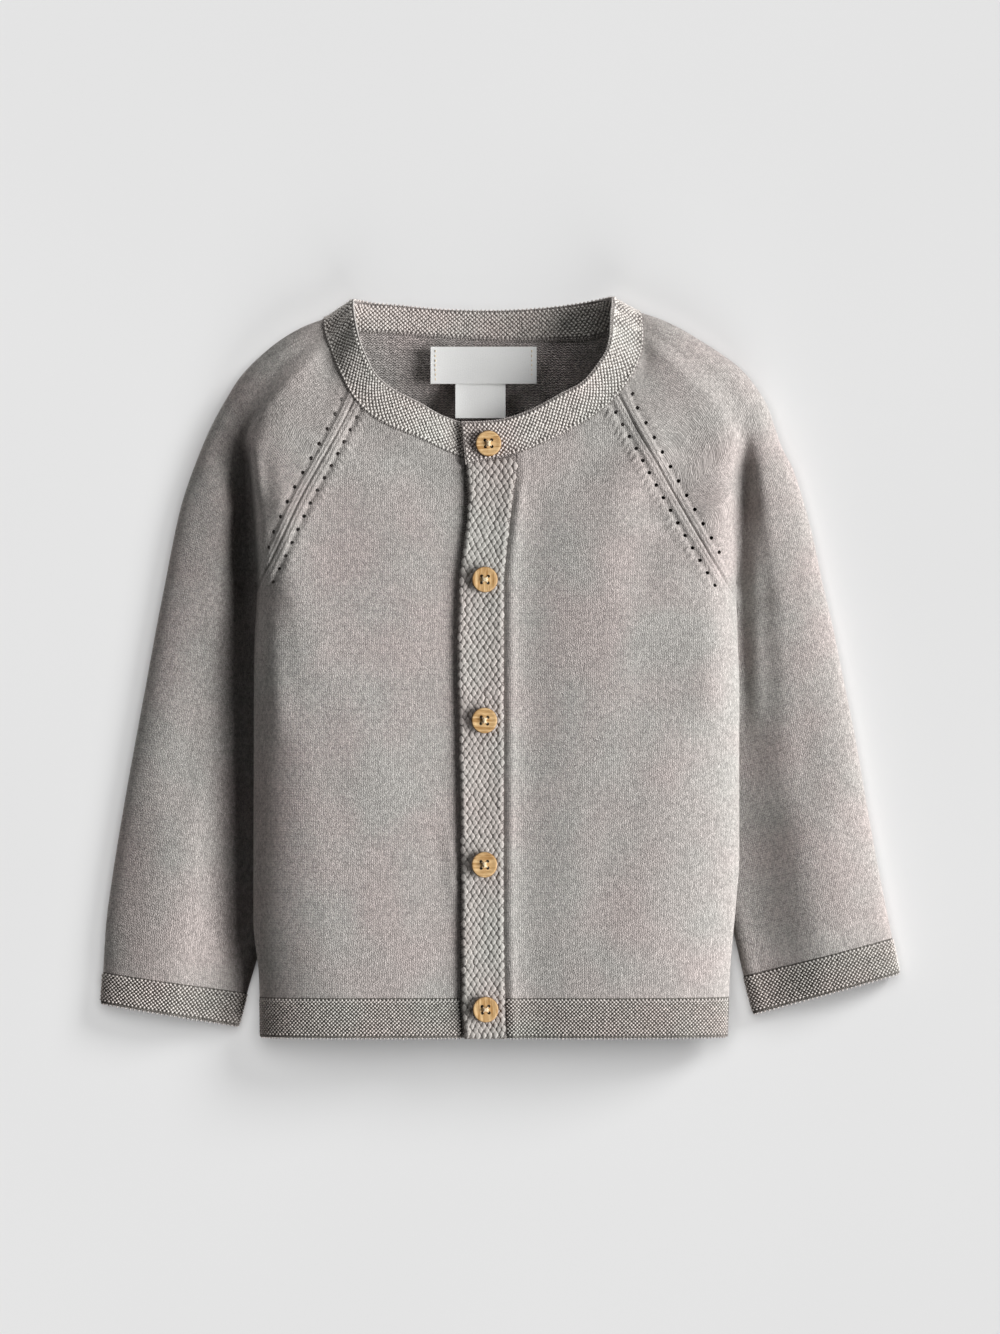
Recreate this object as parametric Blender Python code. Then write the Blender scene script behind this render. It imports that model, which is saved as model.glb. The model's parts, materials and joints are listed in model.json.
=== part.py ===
"""Baby cardigan, knitted: raglan sleeves, round neckband, buttoned front band, laid face up.

It lies on a flat surface, plumped out so that its body is a hollow pillow of cloth and each
sleeve a hollow flattened tube. Sizes in this file are millimetres. X points to the wearer's
left, Y to the neck and Z up from the surface. Each knitted piece is a wall: rows and columns
of outer points worked out from the tables below, and the same points moved in by the cloth's
thickness. The pieces lie edge to edge, SEAM_GAP apart.
"""

import math

import bmesh
import bpy
import numpy as np

MM = 0.001
CLOTH = 1.7
BAND_CLOTH = 2.3
SEAM_GAP = 0.3

# Lengthwise stations of the body, on Y.
HEM_TOP_Y = -138.5
FRONT_HEM_Y = -155.2
BACK_HEM_Y = -154.4

# The front band, on X, and how far the wearer's left front is lifted to lie over the right.
BAND_MIDDLE_X = -7.0
BAND_LAP = 2.6
LAP_FADE = 8.0
VALLEY_DEPTH = 3.2
VALLEY_HALF_WIDTH = 24.0

# How far in from each side edge the front rolls over, by the wearer's side.
ROLL_WIDTH = {"right": 31.0, "left": 54.0}
# The underside touches the surface out to here on either side, then rises to the side seam.
FLAT_HALF_WIDTH = 60.0
UNDERSIDE_POWER = 1.5

# Ribs beside each raglan seam, as distance from the seam and height.
RIB_OFFSETS = (0.0, 0.5, 1.5, 2.5, 3.2)
RIB_HEIGHTS = (0.0, 0.7, 0.9, 0.7, 0.0)

BUTTON_DIAMETER = 10.8
BUTTON_THICKNESS = 2.6
BUTTON_RIM = 1.3
BUTTON_DISH = 0.6
BUTTON_HOLE = 1.2
BUTTON_HOLE_PITCH = 2.9
BUTTON_SIDES = 20
BUTTON_HOLE_SIDES = 8

LABEL_SIZE = (44.5, 15.6)
LABEL_CENTRE = (-6.9, 126.6)
TAB_SIZE = (21.0, 16.4)
TAB_CENTRE = (-8.2, 112.4)
LABEL_CLOTH = 1.0

# Side edge of the body, and of the crease above it: y, x.
SIDE_EDGE = {
    "right": (
        (-155.0, -100.8),
        (-130.0, -101.2),
        (-107.0, -103.5),
        (-56.0, -103.4),
        (11.0, -103.0),
        (30.5, -102.2),
        (70.0, -104.2),
        (99.0, -106.3),
        (120.0, -108.0),
    ),
    "left": (
        (-155.0, 95.6),
        (-125.0, 96.8),
        (-96.0, 99.4),
        (-81.0, 100.4),
        (-14.0, 100.4),
        (28.0, 99.4),
        (61.0, 99.6),
        (95.0, 100.9),
        (114.0, 107.0),
        (125.0, 109.0),
    ),
}

# Height of the top face along the body: y, height of the crest.
CREST = (
    (-156.0, 24.5),
    (-110.0, 26.0),
    (-20.0, 26.6),
    (40.0, 26.2),
    (75.0, 24.6),
    (105.0, 22.2),
    (125.0, 20.6),
    (160.0, 18.6),
)
# Height of the side seam, and above the underarm of the crease in the sleeve: y, height.
SEAM_HEIGHT = (
    (-156.0, 8.6),
    (-125.0, 9.6),
    (-60.0, 10.8),
    (0.0, 10.6),
    (18.0, 8.2),
    (30.0, 5.6),
    (45.0, 6.0),
    (62.0, 6.6),
    (77.0, 8.6),
    (92.0, 12.6),
    (106.0, 17.0),
    (120.0, 20.8),
    (160.0, 18.6),
)

# Front raglan seam, underarm to neck: x, y.
RAGLAN = {
    "right": ((-102.2, 30.5), (-92.6, 50.0), (-83.4, 69.9), (-72.4, 89.6), (-60.9, 111.5)),
    "left": ((99.4, 27.5), (86.8, 47.8), (74.6, 68.6), (61.6, 91.8), (49.4, 113.4)),
}
# Back raglan seam, underarm to neck: x, y.
BACK_RAGLAN = {
    "right": ((-102.2, 30.5), (-89.0, 60.0), (-77.0, 95.0), (-66.0, 127.0), (-62.2, 140.9)),
    "left": ((99.4, 27.5), (86.0, 58.0), (72.0, 95.0), (53.0, 127.0), (46.2, 139.7)),
}
# Shoulder and outer sleeve fold above the underarm, neck to underarm: x, y.
SHOULDER = {
    "right": (
        (-74.3, 145.9),
        (-84.0, 142.0),
        (-92.4, 137.0),
        (-100.8, 130.2),
        (-108.9, 121.8),
        (-114.6, 113.0),
        (-120.1, 103.2),
        (-127.8, 85.5),
        (-133.6, 68.7),
        (-137.8, 50.2),
        (-140.3, 37.2),
    ),
    "left": (
        (58.8, 148.7),
        (67.2, 145.9),
        (75.6, 142.0),
        (84.0, 137.0),
        (92.4, 131.6),
        (100.8, 125.3),
        (106.6, 118.6),
        (112.0, 110.0),
        (115.4, 100.6),
        (118.6, 91.6),
        (122.6, 84.0),
        (126.2, 73.6),
        (130.4, 58.6),
        (135.2, 36.3),
    ),
}

# Rows of a sleeve above the underarm: share of the way down the raglan seam, height of the
# crest beyond the crease, height of the outer fold.
CAP_ROWS = (
    # down, crest, fold
    (0.00, 17.6, 8.6),
    (0.25, 16.2, 8.2),
    (0.50, 14.0, 7.4),
    (0.75, 12.8, 6.6),
    (1.00, 12.3, 6.0),
)
# Rows of a sleeve below the underarm: outer fold x, y, inner edge x, y, share of the row
# under the body, height there, heights of the seam's two lips, crest, fold.
SLEEVE_ROWS = {
    "right": (
        # out_x, out_y, in_x, in_y, under, low, lip, lower_lip, crest, fold
        (-140.3, 37.2, -102.2, 30.5, 0.05, 5.4, 5.2, 1.2, 12.3, 6.0),
        (-144.2, 17.4, -95.8, 9.0, 0.12, 5.6, 3.4, 3.4, 12.3, 5.9),
        (-148.6, -6.5, -93.6, -16.2, 0.17, 5.9, 3.4, 3.4, 12.3, 5.8),
        (-153.4, -32.5, -93.4, -42.6, 0.16, 6.2, 3.4, 3.4, 12.3, 5.8),
        (-158.2, -59.4, -94.0, -70.3, 0.15, 6.2, 3.4, 3.4, 12.3, 5.8),
        (-162.8, -87.6, -97.0, -98.9, 0.10, 6.2, 3.4, 3.4, 12.3, 5.8),
        (-165.6, -108.6, -101.2, -119.1, 0.08, 6.4, 3.5, 3.5, 12.3, 5.8),
        (-166.8, -128.3, -106.3, -137.1, 0.08, 7.4, 3.8, 3.8, 11.8, 5.7),
        (-167.7, -141.3, -109.8, -151.0, 0.08, 7.6, 3.9, 3.9, 11.6, 5.6),
    ),
    "left": (
        (135.2, 36.3, 99.4, 27.5, 0.05, 5.4, 5.2, 1.2, 12.3, 6.0),
        (139.6, 17.8, 93.4, 6.9, 0.12, 5.6, 3.4, 3.4, 12.3, 5.9),
        (144.2, -4.8, 91.6, -17.4, 0.16, 5.9, 3.4, 3.4, 12.3, 5.8),
        (149.6, -31.7, 91.4, -45.1, 0.15, 6.2, 3.4, 3.4, 12.3, 5.8),
        (154.2, -58.6, 92.8, -72.9, 0.13, 6.2, 3.4, 3.4, 12.3, 5.8),
        (158.8, -83.8, 95.2, -98.1, 0.10, 6.2, 3.4, 3.4, 12.3, 5.8),
        (162.2, -101.4, 99.0, -114.9, 0.08, 6.4, 3.5, 3.5, 12.3, 5.8),
        (164.8, -114.0, 102.4, -130.0, 0.08, 7.4, 3.8, 3.8, 11.8, 5.7),
        (167.9, -128.7, 106.5, -145.9, 0.08, 7.6, 3.9, 3.9, 11.6, 5.6),
    ),
}
SLEEVE_LOWER_ROWS = 8
OUTER_ROLL = 20.0
OUTER_TUCK = 6.0
INNER_ROLL = 6.0
INNER_TUCK = 4.0
LEAST_CREASE = 0.05
MOST_CREASE = 0.66

# The neckband, station by station from the wearer's right front end, over both shoulders,
# to the left front end on top of it. Heights count from the front's top face where
# on_front is 1, and from the surface where it is 0.
NECKBAND = (
    # free_x, free_y, free_z, seam_x, seam_y, seam_z, on_front
    (0.8, 100.2, 0.0, 0.8, 85.9, 0.0, 1),
    (-16.4, 102.1, 0.2, -16.8, 87.6, 0.0, 1),
    (-23.5, 104.6, 1.2, -22.6, 90.0, 0.0, 1),
    (-34.0, 110.4, 2.2, -33.6, 95.2, 0.0, 1),
    (-45.4, 116.4, 2.8, -46.4, 100.4, 0.0, 1),
    (-52.3, 122.6, 3.2, -55.0, 105.4, 0.0, 1),
    (-55.8, 129.2, 3.4, -60.9, 111.5, 0.0, 1),
    (-59.2, 138.0, 3.2, -67.0, 122.6, -0.8, 1),
    (-60.9, 146.2, 0.4, -71.6, 133.6, -4.2, 1),
    (-61.6, 151.8, 14.6, -74.2, 141.8, 12.6, 0),
    (-61.6, 154.2, 8.6, -74.3, 145.9, 8.6, 0),
    (-59.8, 154.0, 4.0, -71.6, 144.6, 2.2, 0),
    (-54.6, 153.1, 1.2, -62.2, 140.9, 0.0, 0),
    (-42.0, 151.8, 0.1, -47.0, 140.0, 0.0, 0),
    (-25.2, 150.2, 0.0, -27.3, 138.4, 0.0, 0),
    (-4.2, 149.7, 0.0, -4.2, 137.1, 0.0, 0),
    (16.8, 150.6, 0.0, 16.8, 136.7, 0.0, 0),
    (33.0, 152.6, 0.1, 35.4, 137.2, 0.0, 0),
    (40.6, 154.1, 1.2, 46.2, 139.7, 0.0, 0),
    (45.4, 155.0, 4.0, 56.2, 146.8, 2.2, 0),
    (47.0, 155.2, 8.6, 58.8, 148.7, 8.6, 0),
    (47.0, 152.8, 14.6, 60.0, 144.4, 12.6, 0),
    (46.4, 147.0, 0.4, 60.3, 136.6, -4.2, 1),
    (45.8, 137.6, 3.2, 57.0, 124.6, -0.8, 1),
    (42.4, 128.6, 3.4, 49.4, 113.4, 0.0, 1),
    (36.1, 120.5, 3.2, 44.0, 108.2, 0.0, 1),
    (25.2, 113.9, 3.0, 33.2, 100.8, 0.0, 1),
    (11.8, 106.8, 2.8, 18.9, 93.6, 0.8, 1),
    (1.3, 103.4, 3.0, 7.0, 88.8, 2.4, 1),
    (-5.9, 102.5, 2.9, -4.2, 86.5, 2.6, 1),
    (-16.1, 102.2, 2.9, -14.4, 84.4, 2.6, 1),
)
# Stations of the neckband where other pieces begin or end along its seam edge.
NECK_AT = {
    "right": {"front_end": 1, "raglan": 6, "shoulder": 10, "back": 12},
    "left": {"front_end": 28, "raglan": 24, "shoulder": 20, "back": 18},
}

# Free and sewn edges of the buttonhole band: y, free x, sewn x.
FRONT_BAND = (
    (-155.8, -14.8, 2.9),
    (-137.0, -16.0, 2.2),
    (-98.0, -16.1, 1.6),
    (-39.0, -16.1, 1.7),
    (35.5, -16.1, 1.8),
    (53.0, -15.4, 3.4),
    (70.0, -14.0, 5.4),
    (84.0, -14.2, 7.4),
    (89.0, -14.3, 7.0),
)
# Where the fastened buttons sit: x, y.
BUTTONS = ((-4.8, 93.2), (-6.3, 36.3), (-6.5, -22.5), (-6.5, -82.7), (-6.0, -143.2))
BUTTON_REST = 0.5

INWARDS = {"right": 1.0, "left": -1.0}
UP = np.array([0.0, 0.0, 1.0])
DOWN = -UP

COLOURS = {
    "knit": (0.40, 0.37, 0.35, 1.0),
    "band_knit": (0.37, 0.34, 0.32, 1.0),
    "wood": (0.55, 0.36, 0.16, 1.0),
    "satin": (0.72, 0.72, 0.70, 1.0),
}
ROUGHNESS = {"knit": 0.95, "band_knit": 0.95, "wood": 0.5, "satin": 0.6}


# ---- curves and heights ----


def blend(value, low, high):
    """0 below low, 1 above high, and a soft step between."""
    t = np.clip((np.asarray(value, float) - low) / (high - low), 0.0, 1.0)
    return t * t * (3.0 - 2.0 * t)


def smooth(at, values, where):
    """A smooth curve through values given at rising positions, read at other positions."""
    at = np.asarray(at, float)
    values = np.asarray(values, float).reshape(len(at), -1)
    where = np.clip(np.asarray(where, float), at[0], at[-1])
    steps = np.diff(at)[:, None]
    slopes = np.diff(values, axis=0) / steps
    middle = (slopes[1:] * steps[:-1] + slopes[:-1] * steps[1:]) / (steps[1:] + steps[:-1])
    limit = 3.0 * np.minimum(np.abs(slopes[1:]), np.abs(slopes[:-1]))
    middle = np.where(slopes[1:] * slopes[:-1] > 0, np.clip(middle, -limit, limit), 0.0)
    tangents = np.vstack([slopes[:1], middle, slopes[-1:]])
    cell = np.clip(np.searchsorted(at, where, side="right") - 1, 0, len(steps) - 1)
    step = steps[cell]
    t = (where - at[cell])[..., None] / step
    first, last = values[cell], values[cell + 1]
    return (
        first * (1 - t) ** 2 * (1 + 2 * t)
        + tangents[cell] * step * t * (1 - t) ** 2
        + last * t**2 * (3 - 2 * t)
        - tangents[cell + 1] * step * t**2 * (1 - t)
    )


def read(table, where, column=1):
    """One column of a table, as a smooth function of its first column."""
    rows = np.array(table, float)
    return smooth(rows[:, 0], rows[:, column], where)[..., 0]


def along(points, shares):
    """Points at these shares of a smooth curve's length."""
    points = np.asarray(points, float)
    steps = np.linalg.norm(np.diff(points[:, :2], axis=0), axis=1)
    lengths = np.concatenate([[0.0], np.cumsum(steps)])
    return smooth(lengths / lengths[-1], points, shares)


def crest(x, y):
    """Height of the top face away from the edges, with its valley at the front band."""
    valley = np.exp(-(((x - BAND_MIDDLE_X) / VALLEY_HALF_WIDTH) ** 2))
    return read(CREST, y) - VALLEY_DEPTH * valley


def top_height(side, x, y):
    """Height of the front's top face, which rolls down to the side seam or the crease."""
    depth = (x - read(SIDE_EDGE[side], y)) * INWARDS[side] / ROLL_WIDTH[side]
    depth = np.clip(depth, 0.0, 1.0)
    seam = read(SEAM_HEIGHT, y)
    return seam + (crest(x, y) - seam) * np.sqrt(depth * (2.0 - depth))


def lapped_height(x, y):
    """The left front's top face, lifted beside the band to lie over the right front."""
    past_band = np.clip(x - read(FRONT_BAND, y, 2), 0.0, None)
    return top_height("left", x, y) + (BAND_LAP - 0.3) * np.exp(-((past_band / LAP_FADE) ** 2))


def under_height(side, x, y):
    """Height of the underside: flat in the middle, rising to the side seam."""
    edge = np.abs(read(SIDE_EDGE[side], y))
    share = np.clip((np.abs(x) - FLAT_HALF_WIDTH) / (edge - FLAT_HALF_WIDTH), 0.0, 1.0)
    underarm = RAGLAN[side][0][1]
    seam = np.where(y < underarm, read(SEAM_HEIGHT, y), read(SEAM_HEIGHT, underarm))
    seam = seam * (1.0 - blend(y, underarm, underarm + 26.0))
    return seam * (1.0 - (1.0 - share**UNDERSIDE_POWER) ** (1.0 / UNDERSIDE_POWER))


# ---- the neckband's edges, which every neck seam follows ----


def neck_stations():
    rows = np.array(NECKBAND, float)
    steps = np.linalg.norm(np.diff(rows[:, 3:5], axis=0), axis=1)
    return rows, np.concatenate([[0.0], np.cumsum(steps)])


def neck_edges(where):
    """Free and seam edge points of the neckband at these lengths along its seam."""
    rows, lengths = neck_stations()
    read_rows = smooth(lengths, rows, where)
    edges = []
    for first in (0, 3):
        x, y, z = read_rows[:, first], read_rows[:, first + 1], read_rows[:, first + 2]
        front = np.where(x < BAND_MIDDLE_X, top_height("right", x, y), top_height("left", x, y))
        edges.append(np.stack([x, y, z + read_rows[:, 6] * front], axis=1))
    return edges


def neck_between(start, end, shares):
    """Seam edge points between two stations, at shares of the way, and the way into the cloth."""
    _, lengths = neck_stations()
    where = lengths[start] + (lengths[end] - lengths[start]) * np.asarray(shares)
    return neck_edges(where)[1], neck_rims(where)


def neck_rims(where):
    """Directions into the cloth along the neckband's seam."""
    before, after = neck_edges(where - 0.5), neck_edges(where + 0.5)
    across = (before[0] + after[0]) - (before[1] + after[1])
    return unit(np.cross(after[1] - before[1], across))


# ---- walls ----


EDGES = {
    "first_row": (np.s_[0], np.s_[1]),
    "last_row": (np.s_[-1], np.s_[-2]),
    "first_column": (np.s_[:, 0], np.s_[:, 1]),
    "last_column": (np.s_[:, -1], np.s_[:, -2]),
}


def unit(vectors):
    vectors = np.asarray(vectors, float)
    return vectors / np.linalg.norm(vectors, axis=-1, keepdims=True)


def normals_of(points):
    """Unit normals of a grid of points, on the side that rows cross columns."""
    down, across = np.gradient(points, axis=0), np.gradient(points, axis=1)
    return unit(np.cross(down, across))


def pull_in(points, edges):
    """Moves the named edges of a grid in, square to themselves, by half a seam's gap."""
    moved = points.copy()
    for edge in edges:
        outer, inner = EDGES[edge]
        inwards = points[inner] - points[outer]
        along_edge = unit(np.gradient(points[outer], axis=0))
        inwards -= (inwards * along_edge).sum(axis=1, keepdims=True) * along_edge
        length = np.linalg.norm(inwards, axis=1, keepdims=True)
        moved[outer] += inwards / length * np.minimum(SEAM_GAP / 2, length / 3)
    return moved


def wall(name, outer, thickness, material, facing, rims=None):
    """A closed wall from a grid of outer points. facing is -1 where rows cross columns inwards.

    rims gives, for a named edge, the directions in which its thickness is laid, so that two
    pieces that meet along a seam have parallel rims. The line beside it turns halfway there.
    """
    inwards = -facing * normals_of(outer)
    for edge, directions in (rims or {}).items():
        beside = EDGES[edge][1]
        inwards[beside] = unit(inwards[beside] + unit(directions))
    for edge, directions in (rims or {}).items():
        inwards[EDGES[edge][0]] = unit(directions)
    inner = outer + thickness * inwards
    rows, columns = outer.shape[:2]
    mesh = bmesh.new()
    layers = []
    for layer in (outer, inner):
        corners = [[mesh.verts.new(point * MM) for point in row] for row in layer]
        layers.append(corners)
    top, bottom = layers
    for i in range(rows - 1):
        for j in range(columns - 1):
            for grid in layers:
                mesh.faces.new((grid[i][j], grid[i][j + 1], grid[i + 1][j + 1], grid[i + 1][j]))
    rim = [(0, j) for j in range(columns)]
    rim += [(i, columns - 1) for i in range(1, rows)]
    rim += [(rows - 1, j) for j in range(columns - 2, -1, -1)]
    rim += [(i, 0) for i in range(rows - 2, 0, -1)]
    for (i, j), (k, n) in zip(rim, rim[1:] + rim[:1]):
        mesh.faces.new((top[i][j], top[k][n], bottom[k][n], bottom[i][j]))
    bmesh.ops.recalc_face_normals(mesh, faces=mesh.faces)
    return finish(name, mesh, material)


def finish(name, mesh, material):
    data = bpy.data.meshes.new(name)
    mesh.to_mesh(data)
    mesh.free()
    data.materials.append(MATERIALS[material])
    data.shade_smooth()
    data.set_sharp_from_angle(angle=math.radians(50))
    obj = bpy.data.objects.new(name, data)
    bpy.context.scene.collection.objects.link(obj)
    return obj


# ---- body ----


def roll_offsets(side, width):
    """Distances in from the side seam: even round the roll, then even to the front edge."""
    angles = np.radians(np.linspace(0.0, 90.0, len(SIDE_COLUMNS)))
    roll = ROLL_WIDTH[side] * (1.0 - np.cos(angles))
    flat = np.linspace(ROLL_WIDTH[side], width, FLAT_COLUMNS + 1)[1:]
    return np.concatenate([roll, flat])


def seam_offsets(width):
    """Distances in from the raglan seam: one column on each edge of the rib, then even."""
    reach = min(0.6 * width, SIDE_COLUMNS[-1])
    near = np.array(SIDE_COLUMNS)
    near = np.where(near > RIB_OFFSETS[-1], near * reach / SIDE_COLUMNS[-1], near)
    flat = np.linspace(reach, width, FLAT_COLUMNS + 1)[1:]
    return np.concatenate([near, flat])


SIDE_COLUMNS = RIB_OFFSETS + (8.0, 14.0, 21.0, 30.0)
FLAT_COLUMNS = 6
BODY_ROWS = 12
YOKE_ROWS = 10


def front_edge_x(side, y):
    """Where a front meets its band."""
    if side == "right":
        return read(FRONT_BAND, y, 1) - 0.8
    return read(FRONT_BAND, y, 2)


def front_rows(side):
    """Plan end points of each row of a front: on the side or raglan seam, and at the band."""
    underarm = np.array(RAGLAN[side][0])
    at = NECK_AT[side]
    neck = neck_between(at["front_end"], at["front_end"], [0.0])[0][0]
    rows = []
    for y in np.linspace(HEM_TOP_Y, underarm[1], BODY_ROWS + 1):
        rows.append((read(SIDE_EDGE[side], y), y, front_edge_x(side, y), y, 0.0))
    for share in np.linspace(0.0, 1.0, YOKE_ROWS + 1)[1:]:
        x, y = along(RAGLAN[side], share)
        band_y = underarm[1] + share * (neck[1] - underarm[1])
        rows.append((x, y, front_edge_x(side, band_y), band_y, share))
    rows[-1] = (*rows[-1][:2], neck[0], neck[1], 1.0)
    return rows


def row_points(side, row, heights):
    """One row of a front, from its seam to its band."""
    seam_x, seam_y, band_x, band_y, share = row
    seam, band = np.array([seam_x, seam_y]), np.array([band_x, band_y])
    width = np.linalg.norm(band - seam)
    past = blend(share, 0.0, 0.15)
    offsets = (1 - past) * roll_offsets(side, width) + past * seam_offsets(width)
    plan = seam + (band - seam) * (offsets / width)[:, None]
    return np.column_stack([plan, heights(plan[:, 0], plan[:, 1])])


def raise_rib(points, strength):
    """Raises the first columns beside a raglan seam into a rib."""
    lift = np.zeros(points.shape[1])
    lift[: len(RIB_HEIGHTS)] = RIB_HEIGHTS
    return points + normals_up(points) * (strength[:, None] * lift)[..., None]


def normals_up(points):
    normals = normals_of(points)
    return normals * np.sign(normals[..., 2:3] + 1e-9)


def front_heights(side):
    if side == "left":
        return lapped_height
    return lambda x, y: top_height("right", x, y)


def raglan_rim(side, share):
    """Direction into the cloth at the front raglan seam: square to the top face there."""
    x, y = along(RAGLAN[side], share)
    x += 0.6 * INWARDS[side]
    step = 0.3
    slope_x = top_height(side, x + step, y) - top_height(side, x - step, y)
    slope_y = top_height(side, x, y + step) - top_height(side, x, y - step)
    return unit([slope_x, slope_y, -2 * step])


def side_rim(side):
    return np.array([INWARDS[side], 0.0, 0.0])


def build_front(side):
    heights = front_heights(side)
    rows = front_rows(side)
    shares = np.array([row[4] for row in rows])
    points = np.array([row_points(side, row, heights) for row in rows])
    width = np.linalg.norm(points[-1, -1, :2] - points[-1, 0, :2])
    at = NECK_AT[side]
    neck, neck_rim = neck_between(at["raglan"], at["front_end"], seam_offsets(width) / width)
    settle = blend(shares, 0.55, 1.0)
    points = points + settle[:, None, None] * (neck - points[-1])[None]
    points = raise_rib(points, blend(shares, 0.02, 0.12))
    points = pull_in(points, ("first_row", "last_row", "first_column", "last_column"))
    seam_rim = [raglan_rim(side, share) if share else side_rim(side) for share in shares]
    rims = {"last_row": neck_rim, "first_column": seam_rim, "last_column": DOWN}
    wall(f"front_{side}", points, CLOTH, "knit", -1 if side == "right" else 1, rims)


def build_front_hem(side):
    heights = front_heights(side)
    rows = []
    for y in np.linspace(HEM_TOP_Y, FRONT_HEM_Y, 4):
        row = (read(SIDE_EDGE[side], y), y, front_edge_x(side, y), y, 0.0)
        rows.append(row_points(side, row, heights))
    points = pull_in(np.array(rows), ("first_row", "first_column", "last_column"))
    rims = {"first_column": side_rim(side), "last_column": DOWN}
    facing = 1 if side == "right" else -1
    wall(f"hem_front_{side}", points, BAND_CLOTH, "band_knit", facing, rims)


BACK_OFFSETS = (0.0, 0.5, 2.0, 5.0, 10.0, 18.0, 29.0, 42.0)
BACK_MIDDLE = 4


def back_row(ends, drop=0.0):
    """One row across the back, from the wearer's right edge to the left edge."""
    (left_x, left_y), (right_x, right_y) = ends
    width = right_x - left_x
    near = np.array(BACK_OFFSETS) * min(1.0, width / 2.6 / BACK_OFFSETS[-1])
    middle = np.linspace(near[-1], width - near[-1], BACK_MIDDLE + 2)[1:-1]
    across = np.concatenate([near, middle, width - near[::-1]])
    x = left_x + across
    y = left_y + (right_y - left_y) * across / width
    height = np.where(x < 0, under_height("right", x, y), under_height("left", x, y))
    return np.column_stack([x, y, height + drop])


def back_ends(share):
    return along(BACK_RAGLAN["right"], share), along(BACK_RAGLAN["left"], share)


def build_back():
    underarms = RAGLAN["right"][0][1], RAGLAN["left"][0][1]
    rows, shares = [], []
    for share in np.linspace(0.0, 1.0, BODY_ROWS + 1):
        ends = []
        for side, underarm in zip(("right", "left"), underarms):
            y = HEM_TOP_Y + share * (underarm - HEM_TOP_Y)
            ends.append((read(SIDE_EDGE[side], y), y))
        rows.append(back_row(ends))
        shares.append(0.0)
    for share in np.linspace(0.0, 1.0, YOKE_ROWS + 1)[1:]:
        rows.append(back_row(back_ends(share)))
        shares.append(share)
    points = np.array(rows)
    spread = (points[-1, :, 0] - points[-1, 0, 0]) / np.ptp(points[-1, :, 0])
    neck, neck_rim = neck_between(NECK_AT["right"]["back"], NECK_AT["left"]["back"], spread)
    settle = blend(shares, 0.6, 1.0)
    points = points + settle[:, None, None] * (neck - points[-1])[None]
    points = pull_in(points, ("first_row", "last_row", "first_column", "last_column"))
    upright = blend(shares, 0.0, 0.15)[:, None]
    rims = {"last_row": neck_rim}
    for side, edge in (("right", "first_column"), ("left", "last_column")):
        rims[edge] = (1.0 - upright) * side_rim(side) + upright * UP
    wall("back", points, CLOTH, "knit", 1, rims)


def build_back_hem():
    rows = []
    for y in np.linspace(HEM_TOP_Y, BACK_HEM_Y, 3):
        ends = [(read(SIDE_EDGE[side], y), y) for side in ("right", "left")]
        rows.append(back_row(ends))
    points = pull_in(np.array(rows), ("first_row", "first_column", "last_column"))
    rims = {"first_column": side_rim("right"), "last_column": side_rim("left")}
    wall("hem_back", points, BAND_CLOTH, "band_knit", -1, rims)


# ---- sleeves ----


def fold_in(distance, reach):
    """Share of full height at a distance from an edge that is rounded over a reach."""
    t = np.clip(distance / reach, 0.0, 1.0)
    return np.sqrt(t * (2.0 - t))


def top_columns(width, crease):
    """Distances from the seam to the outer fold, across a sleeve's top layer."""
    near = np.array(RIB_OFFSETS) * min(1.0, 0.7 * crease / RIB_OFFSETS[-1])
    inner = near[-1] + (crease - near[-1]) * np.array([0.4, 0.78, 1.0])
    roll = min(OUTER_ROLL, 0.6 * (width - crease))
    flat = crease + (width - roll - crease) * np.array([0.16, 0.4, 0.7])
    angles = np.radians([90.0, 62.0, 38.0, 18.0, 0.0])
    return np.concatenate([near, inner, flat, width - roll * (1.0 - np.cos(angles))]), roll


def bottom_columns(width):
    """Distances from the outer fold to the seam, across a sleeve's bottom layer."""
    angles = np.radians([30.0, 60.0, 90.0])
    tuck = OUTER_TUCK * (1.0 - np.cos(angles))
    middle = OUTER_TUCK + (width - OUTER_TUCK - INNER_TUCK) * np.array([0.3, 0.65, 1.0])
    edge = width - INNER_TUCK * np.array([0.55, 0.15, 0.0])
    return np.concatenate([tuck, middle, edge])


def straight(start, end, distances):
    direction = (end - start) / np.linalg.norm(end - start)
    return start + direction * np.asarray(distances)[:, None]


def outer_profile(distances, width, roll, crease, low, high, fold):
    """Heights beyond the crease: up to the crest, then round to the outer fold."""
    rise = blend(distances, crease, crease + 0.5 * (width - crease))
    flat = low + (high - low) * rise
    return fold + (flat - fold) * fold_in(width - distances, roll)


def crease_share(side, start, outer):
    """Share of a row at which it crosses the body's side edge, where the crease runs."""
    shares = np.linspace(0.0, MOST_CREASE, 101)
    x, y = (start + (outer - start) * shares[:, None]).T
    inside = (x - read(SIDE_EDGE[side], y)) * INWARDS[side] > 0
    return max(LEAST_CREASE, shares[inside].max(initial=0.0))


def cap_row(side, down, high, fold):
    """One row of a sleeve above the underarm: front raglan, outer fold, back raglan."""
    start = along(RAGLAN[side], 1.0 - down)
    outer = along(SHOULDER[side], down)
    end = along(BACK_RAGLAN[side], 1.0 - down)
    width = np.linalg.norm(outer - start)
    crease = crease_share(side, start, outer) * width
    distances, roll = top_columns(width, crease)
    plan = straight(start, outer, distances)
    heights = top_height(side, plan[:, 0], plan[:, 1])
    low = top_height(side, *straight(start, outer, [crease])[0])
    beyond = distances > crease + 1e-6
    profile = outer_profile(distances, width, roll, crease, low, high, fold)
    top = np.column_stack([plan, np.where(beyond, profile, heights)])
    return np.vstack([top, bottom_row(outer, end, fold, 1.2 * blend(down, 0.8, 1.0))])


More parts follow.
